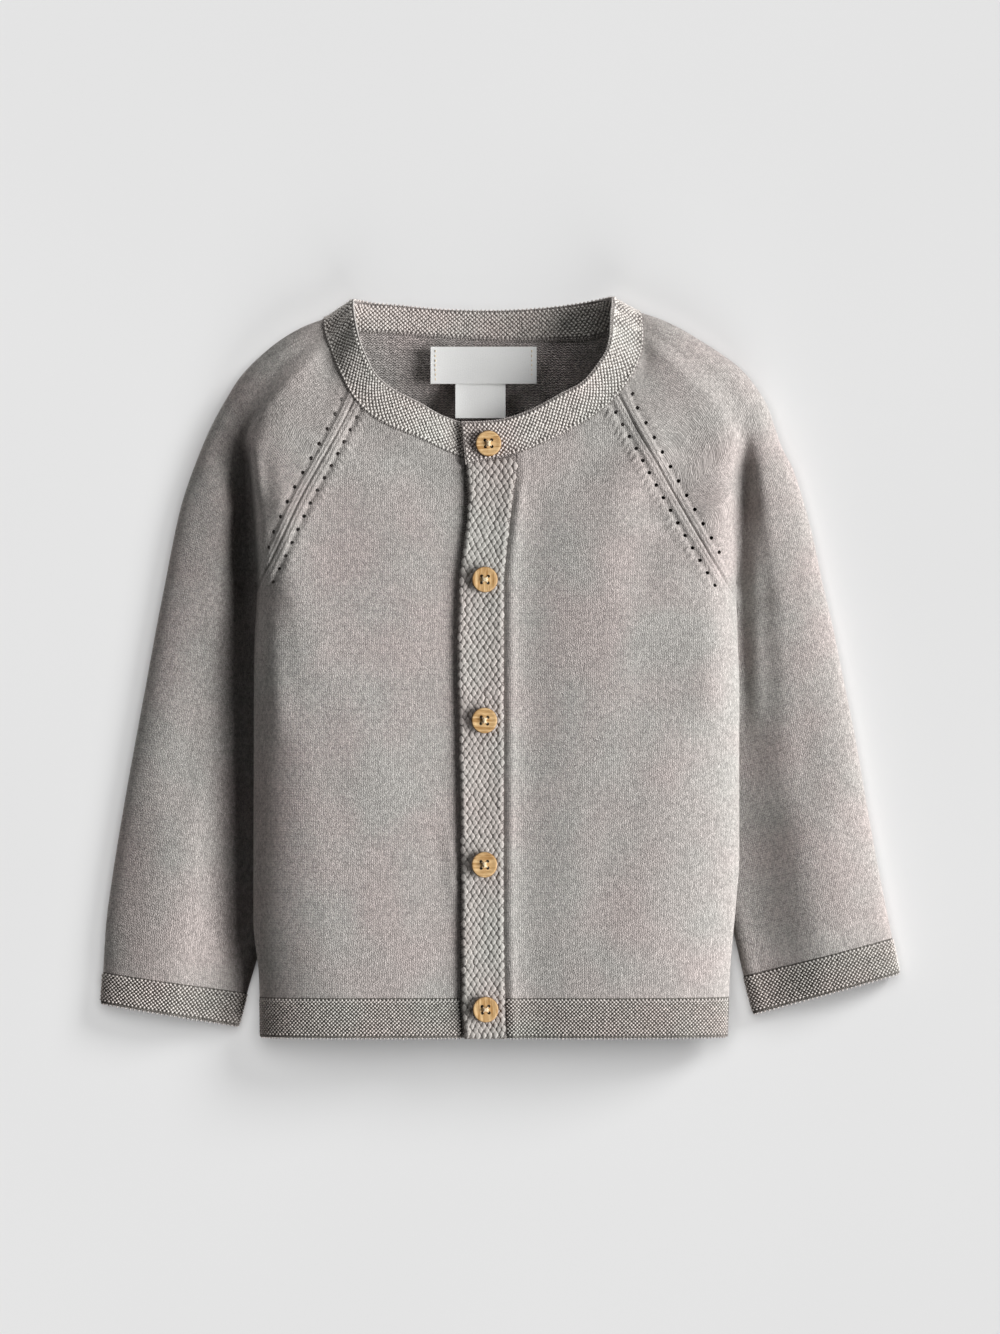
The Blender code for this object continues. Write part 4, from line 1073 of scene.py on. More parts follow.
def slit_rims(points, top_count):
    """Level directions from a tube's slit into its hollow, one to a row."""
    return unit((points[:, top_count - 1] - points[:, 0]) * (1.0, 1.0, 0.0))


def sleeve_plan(points, top_count):
    """Flat positions on a sleeve: distance square off the outer fold, and down along it."""
    fold = points[:, top_count - 1]
    down = run_lengths(fold)
    course = unit(np.gradient(fold[:, :2], axis=0))
    row = unit((points[:, 0] - fold)[:, :2])
    square, lean = slant_of(course, row), (course * row).sum(axis=1)
    reach = lengths_of(points, 1)
    reach = reach - reach[:, top_count - 1 : top_count]
    return np.stack([reach * square[:, None], down[:, None] - np.abs(reach) * lean[:, None]], -1)


def soften(heights, weight, down, across):
    """Evens out a grid of heights by its neighbours: weight says how much at each point,
    and the other two how many times along its columns and along its rows."""
    heights = heights.copy()
    for turn in range(max(down, across)):
        for grid, share, times in ((heights, weight, down), (heights.T, weight.T, across)):
            if turn < times:
                grid[1:-1] += share[1:-1] * ((grid[:-2] + grid[2:]) / 2 - grid[1:-1])
    return heights


def painted_tuck_shade(side, points, top_count):
    """Painted shade for each point of a sleeve: how much its colour is darkened in the
    crease beside the body, standing in for the body's shadow there.
    """
    x, y = points[..., 0], points[..., 1]
    beyond = -depth_in(side, x, y)
    strength, near, far = (read(PAINTED_TUCK_SHADE[side], y, column) for column in (1, 2, 3))
    dark = strength * (1.0 - blend(beyond, near, far)) * blend(beyond, -3.0, 0.0)
    dark[:, top_count:] = 0.0
    return dark


def build_sleeve(side):
    heights = np.array(CAP_ROWS)
    shares = yoke_shares(side, EYELET_PITCH["sleeve"])[::-1]
    starts, outers = along(RAGLAN[side], shares), along(SHOULDER[side], 1.0 - shares)
    slants = row_slants(side, starts, outers, shares)
    caps, offs = [], []
    for share, slant in zip(shares, slants):
        high, fold = smooth(heights[:, 0], heights[:, 1:], 1.0 - share)
        row, off = cap_row(side, 1.0 - share, slant, high, fold)
        caps.append(row)
        offs.append(off)
    caps, offs = np.array(caps), np.array(offs)
    top_count = offs.shape[1]
    flat_row = caps[0].copy()
    caps[0], neck_rim = neck_row(side, caps[0], top_count)
    settle = 1.0 - blend(1.0 - shares, 0.0, SLEEVE_SETTLE)
    caps[1:] += settle[1:, None, None] * (caps[0] - flat_row)[None]
    high_up = blend(caps[:, :top_count, 1], *EVEN_FROM_Y) * blend(offs, *EVEN_OFF_SEAM)
    high_up[:, -4:] = 0.0
    evened = soften(caps[:, :top_count, 2], high_up, EVEN_DOWN, EVEN_ACROSS)
    caps[:, :top_count, 2] = evened
    relief = seam_relief(side, "sleeve", offs, shares)
    caps[:, :top_count] = raised(caps[:, :top_count], relief)
    lower = sleeve_rows(side, 0, -2, SLEEVE_LOWER_ROWS)[1:]
    points = np.concatenate([caps, lower])
    plan = sleeve_plan(points, top_count)
    eyelets = eyelet_rows(shares[::-1], "sleeve")
    holes = pierce(points, [len(shares) - 1 - row for row in eyelets])
    front = [raglan_rim(side, share) for share in shares[:-1]] + [DOWN]
    back = [UP] * len(caps)
    below = list(slit_rims(lower, top_count))
    rims = {"first_row": neck_rim, "first_column": front + below, "last_column": back + below}
    cloth = CLOTH, STOCKING, FACING[side], plan, rims, holes
    # The sleeve's cloth carries painted shade in the crease beside the body.
    return shell(f"sleeve_{side}_knit", points, *cloth, painted_tuck_shade(side, points, top_count))


def build_cuff(side):
    points = sleeve_rows(side, -2, -1, CUFF_ROWS)
    top_count = points.shape[1] - BOTTOM_COUNT
    down = lengths_of(points, 0)
    points[:, :top_count] = hem_relief(points[:, :top_count])
    points[:, top_count:, 2] += UNDER_LIFT * blend(down[:, top_count:], 0.0, 2.0)
    slit = slit_rims(points, top_count)
    name, facing = f"cuff_{side}", FACING[side]
    cuff = moss_band(name, points, facing, sleeve_plan(points, top_count), slit, slit)
    return cuff, trim(name, bed_of(points, facing), CUFF_MOSS, CUFF_TICKS)


# ---- moss stitches, laid on the bands ----


def bed_of(points, facing):
    """A band's outer points with the directions that they face."""
    return points, facing * normals_of(points)


def between(grid, at):
    """Rows of a grid at fractional row numbers."""
    low = np.clip(at.astype(int), 0, len(grid) - 2)
    t = (at - low).reshape(-1, *[1] * (grid.ndim - 1))
    return grid[low] * (1 - t) + grid[low + 1] * t


def spaced_along(length, pitch, margins):
    """Even places along a length, inside its margins, close to a pitch apart."""
    room = length - sum(margins)
    count = max(1, round(room / pitch))
    return margins[0] + (np.arange(count) + 0.5) * room / count, room / count


def sample(grid, rows, columns):
    """Values of a grid at fractional rows and columns."""
    low = np.clip(columns.astype(int), 0, grid.shape[1] - 2)
    t = (columns - low)[:, None]
    top = np.clip(rows.astype(int), 0, len(grid) - 2)
    s = (rows - top)[:, None]
    upper = grid[top, low] * (1 - t) + grid[top, low + 1] * t
    lower = grid[top + 1, low] * (1 - t) + grid[top + 1, low + 1] * t
    return upper * (1 - s) + lower * s


def stitch_places(bed, spec):
    """Places, facings and row directions of a lattice of stitches on a bed. A square lattice
    is laid square to the bed's length even where its rows lean."""
    points, normals = bed
    runs = unit(np.gradient(points, axis=1))
    middle = points[:, points.shape[1] // 2]
    downs = lengths_of(points, 0)[:, points.shape[1] // 2]
    at_down, _ = spaced_along(downs[-1], spec["down"], spec["ends"])
    numbers = np.arange(len(downs))
    across = lengths_of(points, 1)
    mean = across[:, -1].mean()
    at_across, pitch = spaced_along(mean, spec["across"], spec["sides"])
    lean = (unit(points[:, -1] - points[:, 0]) * unit(np.gradient(middle, axis=0))).sum(1)
    lean = lean * across[:, -1] * ("square" in spec)
    rows, columns = [], []
    for k, down in enumerate(at_down):
        shift = pitch * (0.25 if k % 2 else -0.25)
        target = np.clip((at_across + shift) / mean, 0.002, 0.998)
        row = np.interp(down, downs, numbers)
        slip = np.interp(row, numbers, lean) * (target - 0.5)
        lengths = between(across, np.array([row]))[0]
        rows.append(np.interp(down - slip, downs, numbers))
        columns.append(np.interp(target * lengths[-1], lengths, np.arange(len(lengths))))
    rows, columns = np.concatenate(rows), np.concatenate(columns)
    if "square" in spec:
        level = np.cross(normals, unit(np.gradient(points, axis=0)))
        runs = level * np.sign((level * runs).sum(-1, keepdims=True))
    return [sample(grid, rows, columns) for grid in (points, normals, runs)]


def chain_places(line, facing, pitch, sink):
    """Places along one edge line of a band, sunk a little into it."""
    reach = run_lengths(line)
    at = np.arange(pitch / 2, reach[-1], pitch)
    columns = np.interp(at, reach, np.arange(len(reach)))
    places = between(line, columns) - sink * between(facing, columns)
    return [places, between(facing, columns), between(unit(np.gradient(line, axis=0)), columns)]


# ---- node trees, and the stitches that they lay ----


class Nodes:
    """A tree of nodes. Each method adds nodes to it and returns their output."""

    def __init__(self, tree):
        self.tree = tree

    def add(self, kind, inputs=(), out=0, **settings):
        """A node with its settings, its inputs set to values or linked to other sockets."""
        made = self.tree.nodes.new(kind)
        for key, value in settings.items():
            setattr(made, key, value)
        for key, value in dict(inputs).items():
            socket = made.inputs[key]
            if isinstance(value, bpy.types.NodeSocket):
                self.tree.links.new(value, socket)
            else:
                socket.default_value = value
        return made.outputs[out]

    def calc(self, operation, *values):
        return self.add("ShaderNodeMath", enumerate(values), operation=operation)

    def product(self, first, second):
        """Two vectors multiplied part by part."""
        return self.add("ShaderNodeVectorMath", {0: first, 1: second}, operation="MULTIPLY")

    def combined(self, *values):
        return self.add("ShaderNodeCombineXYZ", enumerate(values))

    def separated(self, vector):
        return self.add("ShaderNodeSeparateXYZ", {0: vector}).node.outputs


def pointed(nodes, loop, point):
    """Draws a round loop in towards a lozenge, seen from above."""
    calc = nodes.calc
    place = nodes.add("GeometryNodeInputPosition")
    x, y, _ = nodes.separated(place)
    around = calc("ADD", calc("ABSOLUTE", x), calc("ABSOLUTE", y))
    radius = calc("SQRT", calc("ADD", calc("MULTIPLY", x, x), calc("MULTIPLY", y, y)))
    bulge = calc("DIVIDE", calc("ADD", around, 1e-5), calc("ADD", radius, 1e-5))
    drawn = calc("POWER", bulge, calc("MULTIPLY", point, -1.0))
    moved = nodes.product(place, nodes.combined(drawn, drawn, 1.0))
    return nodes.add("GeometryNodeSetPosition", {"Geometry": loop, "Position": moved})


def stitch_tree():
    """Sets one rounded loop of yarn at each point, facing out, and makes them real mesh."""
    nodes = Nodes(bpy.data.node_groups.new("laid_stitches", "GeometryNodeTree"))
    add, tree = nodes.add, nodes.tree
    kinds = {"Places": "Geometry"}
    kinds.update(dict.fromkeys(("Across", "Down", "Height", "Variation", "Point"), "Float"))
    kinds.update({"Seed": "Int", "Detail": "Int", "Finish": "Material"})
    for name, kind in kinds.items():
        tree.interface.new_socket(name, in_out="INPUT", socket_type="NodeSocket" + kind)
    tree.interface.new_socket("Stitches", in_out="OUTPUT", socket_type="NodeSocketGeometry")
    given = tree.nodes.new("NodeGroupInput").outputs
    turn, align = None, "FunctionNodeAlignRotationToVector"
    for name, axis, pivot in (("facing", "Z", "AUTO"), ("run", "X", "Z")):
        attribute = {"Name": name}
        vector = add("GeometryNodeInputNamedAttribute", attribute, data_type="FLOAT_VECTOR")
        inputs = {"Rotation": turn, "Vector": vector} if turn else {"Vector": vector}
        turn = add(align, inputs, axis=axis, pivot_axis=pivot)
    size = nodes.combined(given["Across"], given["Down"], given["Height"])
    spread = {
        "Min": nodes.calc("SUBTRACT", 1.0, given["Variation"]),
        "Max": nodes.calc("ADD", 1.0, given["Variation"]),
        "Seed": given["Seed"],
    }
    vary = add("FunctionNodeRandomValue", spread, data_type="FLOAT_VECTOR")
    ball = {"Radius": 0.5, "Subdivisions": given["Detail"]}
    loop = pointed(nodes, add("GeometryNodeMeshIcoSphere", ball, "Mesh"), given["Point"])
    scale = nodes.product(size, vary)
    laid = {"Points": given["Places"], "Instance": loop, "Rotation": turn, "Scale": scale}
    laid = add("GeometryNodeInstanceOnPoints", laid)
    tone = add("FunctionNodeRandomValue", {"Seed": given["Seed"]}, 1, data_type="FLOAT")
    toned = {"Geometry": laid, "Name": "tone", "Value": tone}
    kind = {"data_type": "FLOAT", "domain": "INSTANCE"}
    toned = add("GeometryNodeStoreNamedAttribute", toned, **kind)
    real = add("GeometryNodeRealizeInstances", {"Geometry": toned})
    real = add("GeometryNodeSetShadeSmooth", {"Geometry": real})
    done = add("GeometryNodeSetMaterial", {"Geometry": real, "Material": given["Finish"]})
    tree.links.new(done, tree.nodes.new("NodeGroupOutput").inputs[0])
    return tree


def evaluated(obj):
    """The mesh of an object with its modifiers applied."""
    bpy.context.view_layer.update()
    graph = bpy.context.evaluated_depsgraph_get()
    return bpy.data.meshes.new_from_object(obj.evaluated_get(graph))


def lay_stitches(name, places, facings, runs, size, finish, seed, detail=1, point=0.0):
    """Runs the stitch tree on a set of places and returns one plain mesh piece. Stitches on
    the underside are pressed level with the surface that the garment lies on."""
    reach = 0.62 * np.abs(facings[:, 2]) * size[2] + 0.5 * (1 - np.abs(facings[:, 2])) * size[1]
    places = np.column_stack([places[:, :2], np.maximum(places[:, 2], reach)])
    data = bpy.data.meshes.new(name + "_places")
    data.from_pydata((places * MM).tolist(), [], [])
    for key, values in (("facing", facings), ("run", runs)):
        attribute = data.attributes.new(key, "FLOAT_VECTOR", "POINT")
        attribute.data.foreach_set("vector", values.astype(np.float32).ravel())
    bed = placed(name + "_places", data)
    lay = bed.modifiers.new("Stitches", "NODES")
    lay.node_group = STITCHES
    values = {
        "Across": size[0] * MM,
        "Down": size[1] * MM,
        "Height": size[2] * MM,
        "Variation": STITCH_VARIATION,
        "Point": point,
        "Seed": seed,
        "Detail": detail,
        "Finish": FINISHES[finish],
    }
    for item in STITCHES.interface.items_tree:
        if item.in_out == "INPUT" and item.name in values:
            lay[item.identifier] = values[item.name]
    made = evaluated(bed)
    bpy.data.objects.remove(bed)
    return placed(name, made)


def moss(name, beds):
    """Moss stitches over one or more beds, as one piece."""
    parts = [stitch_places(bed, spec) for bed, spec in beds]
    places, facings, runs = [np.concatenate(part) for part in zip(*parts)]
    spec = beds[0][1]
    shifts = np.random.default_rng(len(name)).normal(0.0, 0.05, (2, len(places), 1))
    across = np.cross(facings, runs)
    scale = 0.5 * (spec["size"][0] + spec["size"][1])
    places = places + facings * spec["lift"] + (runs * shifts[0] + across * shifts[1]) * scale
    kind = spec["finish"], len(name), spec["detail"], spec.get("point", 0.0)
    return lay_stitches(name, places, facings, runs, spec["size"], *kind)


def stitch_line(name, line, facing, sizes, sink, *kind):
    """A line of stitches of one size along an edge."""
    return lay_stitches(name, *chain_places(line, facing, sizes[0], sink), sizes[1:], *kind)


def picked_up(name, bed):
    """Picked-up stitches beside the first row of a bed, lighter than the rest."""
    return stitch_line(name, bed[0][1], bed[1][1], HEM_JOIN, 0.15, "edge_yarn", 3)


def ticks(name, bed, sizes):
    """Cast-off stitches along the last row of a bed, standing a little out of its edge."""
    points, normals = bed
    places, facings, runs = chain_places(points[-1], normals[-1], sizes[0], 0.55)
    outward = unit(np.cross(facings, runs))
    past = outward * (points[-1] - points[-2]).mean(0)
    out = TICK_OUT - sizes[2] / 2 + 0.4
    places = places + outward * np.sign(past.sum(1, keepdims=True)) * out
    return lay_stitches(name, places, facings, runs, sizes[1:], "edge_yarn", 9, 2)


def trim(name, bed, spec, edge):
    """The stitches, cast-off edge and picked-up join of a band."""
    edge = ticks(f"{name}_edge", bed, edge)
    join = picked_up(f"{name}_join", bed)
    return [moss(f"{name}_stitches", [(bed, spec)]), edge, join]


# ---- neckband and front bands ----


def build_neckband():
    _, lengths = neck_stations()
    where = np.linspace(0.0, lengths[-1], NECK_ROWS + 1)
    free, seam = neck_edges(where)
    shares = np.linspace(0.0, 1.0, NECK_COLUMNS + 1)
    points = seam[:, None] + (free - seam)[:, None] * shares[None, :, None]
    facing = -1
    across = lengths_of(points, 1)
    relief = read(NECK_SEAM_RELIEF, across)
    relief = relief + read(NECK_EDGE_RELIEF, across[:, -1:] - across)
    points = points + facing * normals_of(points) * relief[..., None]
    points[..., 2] = np.maximum(points[..., 2], 0.0)
    rims = {"first_column": neck_rims(where)}
    cloth = BAND_CLOTH, BAND_SIDES, facing, plain_plan(points), rims
    band = shell("neckband_knit", points, *cloth)
    first, last = (lengths[NECK_AT[side]["shoulder"]] for side in SIDES)
    back = (where > first) & (where < last)
    outward = facing * normals_of(points)
    inner = points[back] - BAND_CLOTH * outward[back], -outward[back]
    stitches = moss("neckband_stitches", [(bed_of(points, facing), NECK_MOSS), (inner, NECK_MOSS)])
    join = picked_up("neckband_inner_join", [grid.swapaxes(0, 1) for grid in inner])
    rolled = [
        chain_places(points[part, -1], outward[part, -1], EDGE_CHAIN[0], 0.3)
        for part in (where <= first, where >= last)
    ]
    rolled = [np.concatenate(part) for part in zip(*rolled)]
    chain = lay_stitches("neckband_edge_chain", *rolled, EDGE_CHAIN[1:], "edge_yarn", 5)
    kind = BACK_TICKS, 0.35, "moss_yarn", 4, 2
    tick = stitch_line("neckband_edge_ticks", points[back, -1], outward[back, -1], *kind)
    kind = LINK_CHAIN, 0.1, "moss_yarn", 6
    linking = stitch_line("neckband_linking", points[:, 1], outward[:, 1], *kind)
    return band, [stitches, chain, tick, linking, join]


def band_rows(top_y, bottom_y, free_inset, sewn_inset, lift, count, columns, stray=None):
    """A front band's outer points, from its foot to its head under the neckband."""
    shares, across = np.linspace(0, 1, count + 1)[:, None], np.linspace(0, 1, columns + 1)
    left_y, right_y = (bottom_y + shares * (top - bottom_y) for top in top_y)
    left_x = read(FRONT_BAND, left_y, 1) + free_inset + (read(stray, left_y) if stray else 0)
    right_x = read(FRONT_BAND, right_y, 2) - sewn_inset
    x = left_x + (right_x - left_x) * across
    y = left_y + (right_y - left_y) * across
    height = front_height(x, y) + creases(x, y, BODY_CREASES)
    return np.stack([x, y, height + lift], -1)


def build_front_bands():
    size = BAND_LAP, PLACKET_ROWS, 26, BAND_STRAY
    over = band_rows((84.4, 88.6), FRONT_HEM_Y - 0.4, 0.0, 0.0, *size)
    across = lengths_of(over, 1)
    over[..., 2] += read(PLACKET_EDGE_RELIEF, across)
    over[..., 2] += read(PLACKET_SEWN_RELIEF, across[:, -1:] - across)
    for x, y in BUTTONS:
        off_square = (over[..., 0] - x) ** 2 + (over[..., 1] - y) ** 2
        over[..., 2] -= BUTTON_DIP * np.exp(-(off_square / BUTTON_DIP_SPREAD))
    cloth = BAND_CLOTH, BAND_SIDES, -1, plain_plan(over), {"last_column": DOWN}
    band = shell("buttonhole_band_knit", over, *cloth)
    stitches = moss("buttonhole_band_stitches", [(bed_of(over, -1), PLACKET_MOSS)])
    under = band_rows((87.2, 85.0), FRONT_HEM_Y, -0.8, 2.0, 0.0, 120, 14)
    cloth = UNDER_BAND_CLOTH, BAND_SIDES, -1, plain_plan(under), {"first_column": DOWN}
    return band, stitches, shell("button_band_knit", under, *cloth)


# ---- label, buttons and thread ----


def build_tape(name, size, centre, height, curl, tilt, rise):
    """A flat woven tape with softly lifted ends, tilted sideways and rising to its foot."""
    across = np.linspace(-0.5, 0.5, 45)
    down = np.linspace(0.5, -0.5, 19)
    x, y = np.meshgrid(across, down)
    lift = curl * (np.abs(2 * x) ** 4 + 0.4 * np.clip(-2 * y, 0, 1) ** 3)
    lift = lift + 0.12 * np.sin(5.0 * x + 2.0 * y) + tilt * (0.5 - x)
    lift = lift + rise * (0.5 - y)
    flat = np.stack([centre[0] + x * size[0], centre[1] + y * size[1], height + lift], -1)
    plan = np.stack([x * size[0], y * size[1]], -1)
    return shell(name, flat, TAPE_CLOTH, ("satin", "satin"), 1, plan)


def build_label():
    label = build_tape("label_tape", LABEL_SIZE, LABEL_CENTRE, LABEL_HEIGHT, 0.35, 0.0, LABEL_RISE)
    tab = build_tape("size_tape", TAB_SIZE, TAB_CENTRE, TAB_HEIGHT, 0.25, 0.6, 7.5)
    places = []
    for end in (-1, 1):
        x = LABEL_CENTRE[0] + end * (LABEL_SIZE[0] / 2 - 2.0)
        for y in np.linspace(-0.38, 0.38, 7) * LABEL_SIZE[1] + LABEL_CENTRE[1]:
            drop = 0.5 - (y - LABEL_CENTRE[1]) / LABEL_SIZE[1]
            places.append((x, y, LABEL_HEIGHT + 0.28 + LABEL_RISE * drop))
    places = np.array(places)
    up = np.repeat(UP[None], len(places), 0)
    runs = np.repeat(np.array([[1.0, 0.0, 0.0]]), len(places), 0)
    sewing = lay_stitches("label_sewing", places, up, runs, (0.5, 1.2, 0.35), "thread", 11)
    return label, tab, sewing


def turned(name, profile, centre, turn):
    """A turned wooden shape on a vertical axis, its grain running across it at an angle."""
    profile = np.array(profile, float)
    angles = 2 * np.pi * np.arange(BUTTON_SIDES) / BUTTON_SIDES
    ring = np.stack([np.cos(angles), np.sin(angles)], -1)
    flat = profile[:, None, 0:1] * ring[None]
    heights = np.repeat(profile[:, 1][:, None, None], BUTTON_SIDES, 1)
    points = np.concatenate([flat + np.array(centre), heights], -1).reshape(-1, 3)
    index = np.arange(heights.size).reshape(len(profile), BUTTON_SIDES)
    after = np.roll(index, -1, axis=1)
    quads = np.stack([index[:-1], after[:-1], after[1:], index[1:]], -1).reshape(-1, 4)
    along_grain = np.array([math.cos(turn), math.sin(turn)])
    across_grain = np.array([-along_grain[1], along_grain[0]])
    local = flat.reshape(-1, 2)
    uv = np.stack([local @ along_grain, local @ across_grain + 0.4 * heights.reshape(-1)], -1)
    uv = uv + 37.0 * turn
    piece = mesh_piece(name, points, quads, ("wood",), None, uv)
    work = bmesh.new()
    work.from_mesh(piece.data)
    bmesh.ops.remove_doubles(work, verts=work.verts, dist=1e-7)
    bmesh.ops.recalc_face_normals(work, faces=work.faces)
    work.to_mesh(piece.data)
    work.free()
    return piece


def hole_place(centre, turn, number, reach=1.0):
    """Plan position of a sewing hole, or at another share of the way to it."""
    angle = turn + math.pi / 4 + number * math.pi / 2
    x = centre[0] + reach * BUTTON_HOLE_OFF * math.cos(angle)
    return x, centre[1] + reach * BUTTON_HOLE_OFF * math.sin(angle)


def button_holes(centre, top, turn):
    """Four rods that cut the sewing holes."""
    rods = bmesh.new()
    radius = BUTTON_HOLE_RADIUS * MM
    rod = {"radius1": radius, "radius2": radius, "depth": 6.0 * MM, "segments": 16}
    for number in range(4):
        x, y = hole_place(centre, turn, number)
        place = Matrix.Translation((x * MM, y * MM, (top - 1.0) * MM))
        bmesh.ops.create_cone(rods, cap_ends=True, matrix=place, **rod)
    data = bpy.data.meshes.new("rods")
    rods.to_mesh(data)
    rods.free()
    data.materials.append(FINISHES["wood"])
    return placed("rods", data)


def build_button(number, centre, turn):
    """A button with a flat foot, rounded edges, a shallow dish and four holes; and its thread."""
    base = float(crest(*centre)) + BAND_LAP + BUTTON_REST
    radius, top = BUTTON_DIAMETER / 2, base + BUTTON_THICKNESS
    profile = [(0.0, base), (radius - 1.2, base)]
    for angle in np.radians(np.linspace(-80, 0, 6)):
        profile.append((radius - 0.7 + 0.7 * math.cos(angle), base + 0.9 + 0.9 * math.sin(angle)))
    for angle in np.radians(np.linspace(0, 90, 8)):
        profile.append((radius - 0.6 + 0.6 * math.cos(angle), top - 0.5 + 0.5 * math.sin(angle)))
    for share in np.linspace(0.0, 1.0, 7)[1:]:
        drop = BUTTON_DISH * math.sin(share * math.pi / 2)
        profile.append((radius - 1.0 - 1.4 * share, top - drop))
    profile.append((0.0, top - BUTTON_DISH))
    button = turned(f"wooden_button_{number}", profile, centre, turn)
    rods = button_holes(centre, top, turn)
    cut = button.modifiers.new("Holes", "BOOLEAN")
    cut.operation, cut.solver, cut.object = "DIFFERENCE", "EXACT", rods
    drilled = evaluated(button)
    button.modifiers.clear()
    button.data = drilled
    bpy.data.objects.remove(rods)
    drilled.shade_smooth()
    drilled.set_sharp_from_angle(angle=math.radians(40))
    return button, build_button_thread(number, centre, top - BUTTON_DISH, turn)


def tube(points):
    """Points and faces of a closed round thread along a line of points."""
    tangents = unit(np.gradient(points, axis=0))
    side = unit(np.cross(tangents, UP + 0.01))
    other = np.cross(side, tangents)
    angles = 2 * np.pi * np.arange(THREAD_SIDES) / THREAD_SIDES
    cosines, sines = np.cos(angles)[None, :, None], np.sin(angles)[None, :, None]
    ring = side[:, None] * cosines + other[:, None] * sines
    width = np.full(len(points), THREAD_RADIUS)
    width[[0, -1]] *= 0.2
    skin = points[:, None] + ring * width[:, None, None]
    index = np.arange(len(points) * THREAD_SIDES).reshape(-1, THREAD_SIDES)
    after = np.roll(index, -1, axis=1)
    faces = np.stack([index[:-1], index[1:], after[1:], after[:-1]], -1).reshape(-1, 4).tolist()
    faces += [index[0].tolist(), index[-1][::-1].tolist()]
    return skin.reshape(-1, 3), faces


def build_button_thread(number, centre, top, turn):
    """Two strands crossed over the middle of a button, down into its holes, and a knot."""
    points, faces = [], []
    for k in range(2):
        reach = np.linspace(-0.86, 0.86, 15)
        rise = np.where(np.abs(reach) < 0.8, 0.5 - 0.6 * np.abs(reach) ** 2 + 0.1 * k, -0.6)
        line = np.stack([*hole_place(centre, turn, k, reach), top + rise], -1)
        skin, quads = tube(line)
        faces += [[v + len(points) for v in face] for face in quads]
        points += skin.tolist()
    data = bpy.data.meshes.new(f"button_thread_{number}")
    knot = bmesh.new()
    place = Matrix.Translation((centre[0] * MM, centre[1] * MM, (top + 0.62) * MM))
    place = place @ Matrix.Rotation(turn, 4, "Z") @ Matrix.Diagonal(KNOT_SHAPE)
    bmesh.ops.create_icosphere(knot, subdivisions=3, radius=KNOT_RADIUS * MM, matrix=place)
    for vertex in knot.verts:
        wave = math.sin(vertex.co.x / MM * 5.1) * math.sin(vertex.co.y / MM * 4.3 + number)
        vertex.co.z += 0.10 * wave * MM
    strands = bpy.data.meshes.new("strands")
    strands.from_pydata([[v * MM for v in point] for point in points], [], faces)
    knot.from_mesh(strands)
    bpy.data.meshes.remove(strands)
    bmesh.ops.recalc_face_normals(knot, faces=knot.faces)
    knot.to_mesh(data)
    knot.free()
    data.materials.append(FINISHES["thread"])
    data.shade_smooth()
    return placed(f"button_thread_{number}", data)


# ---- finishes ----


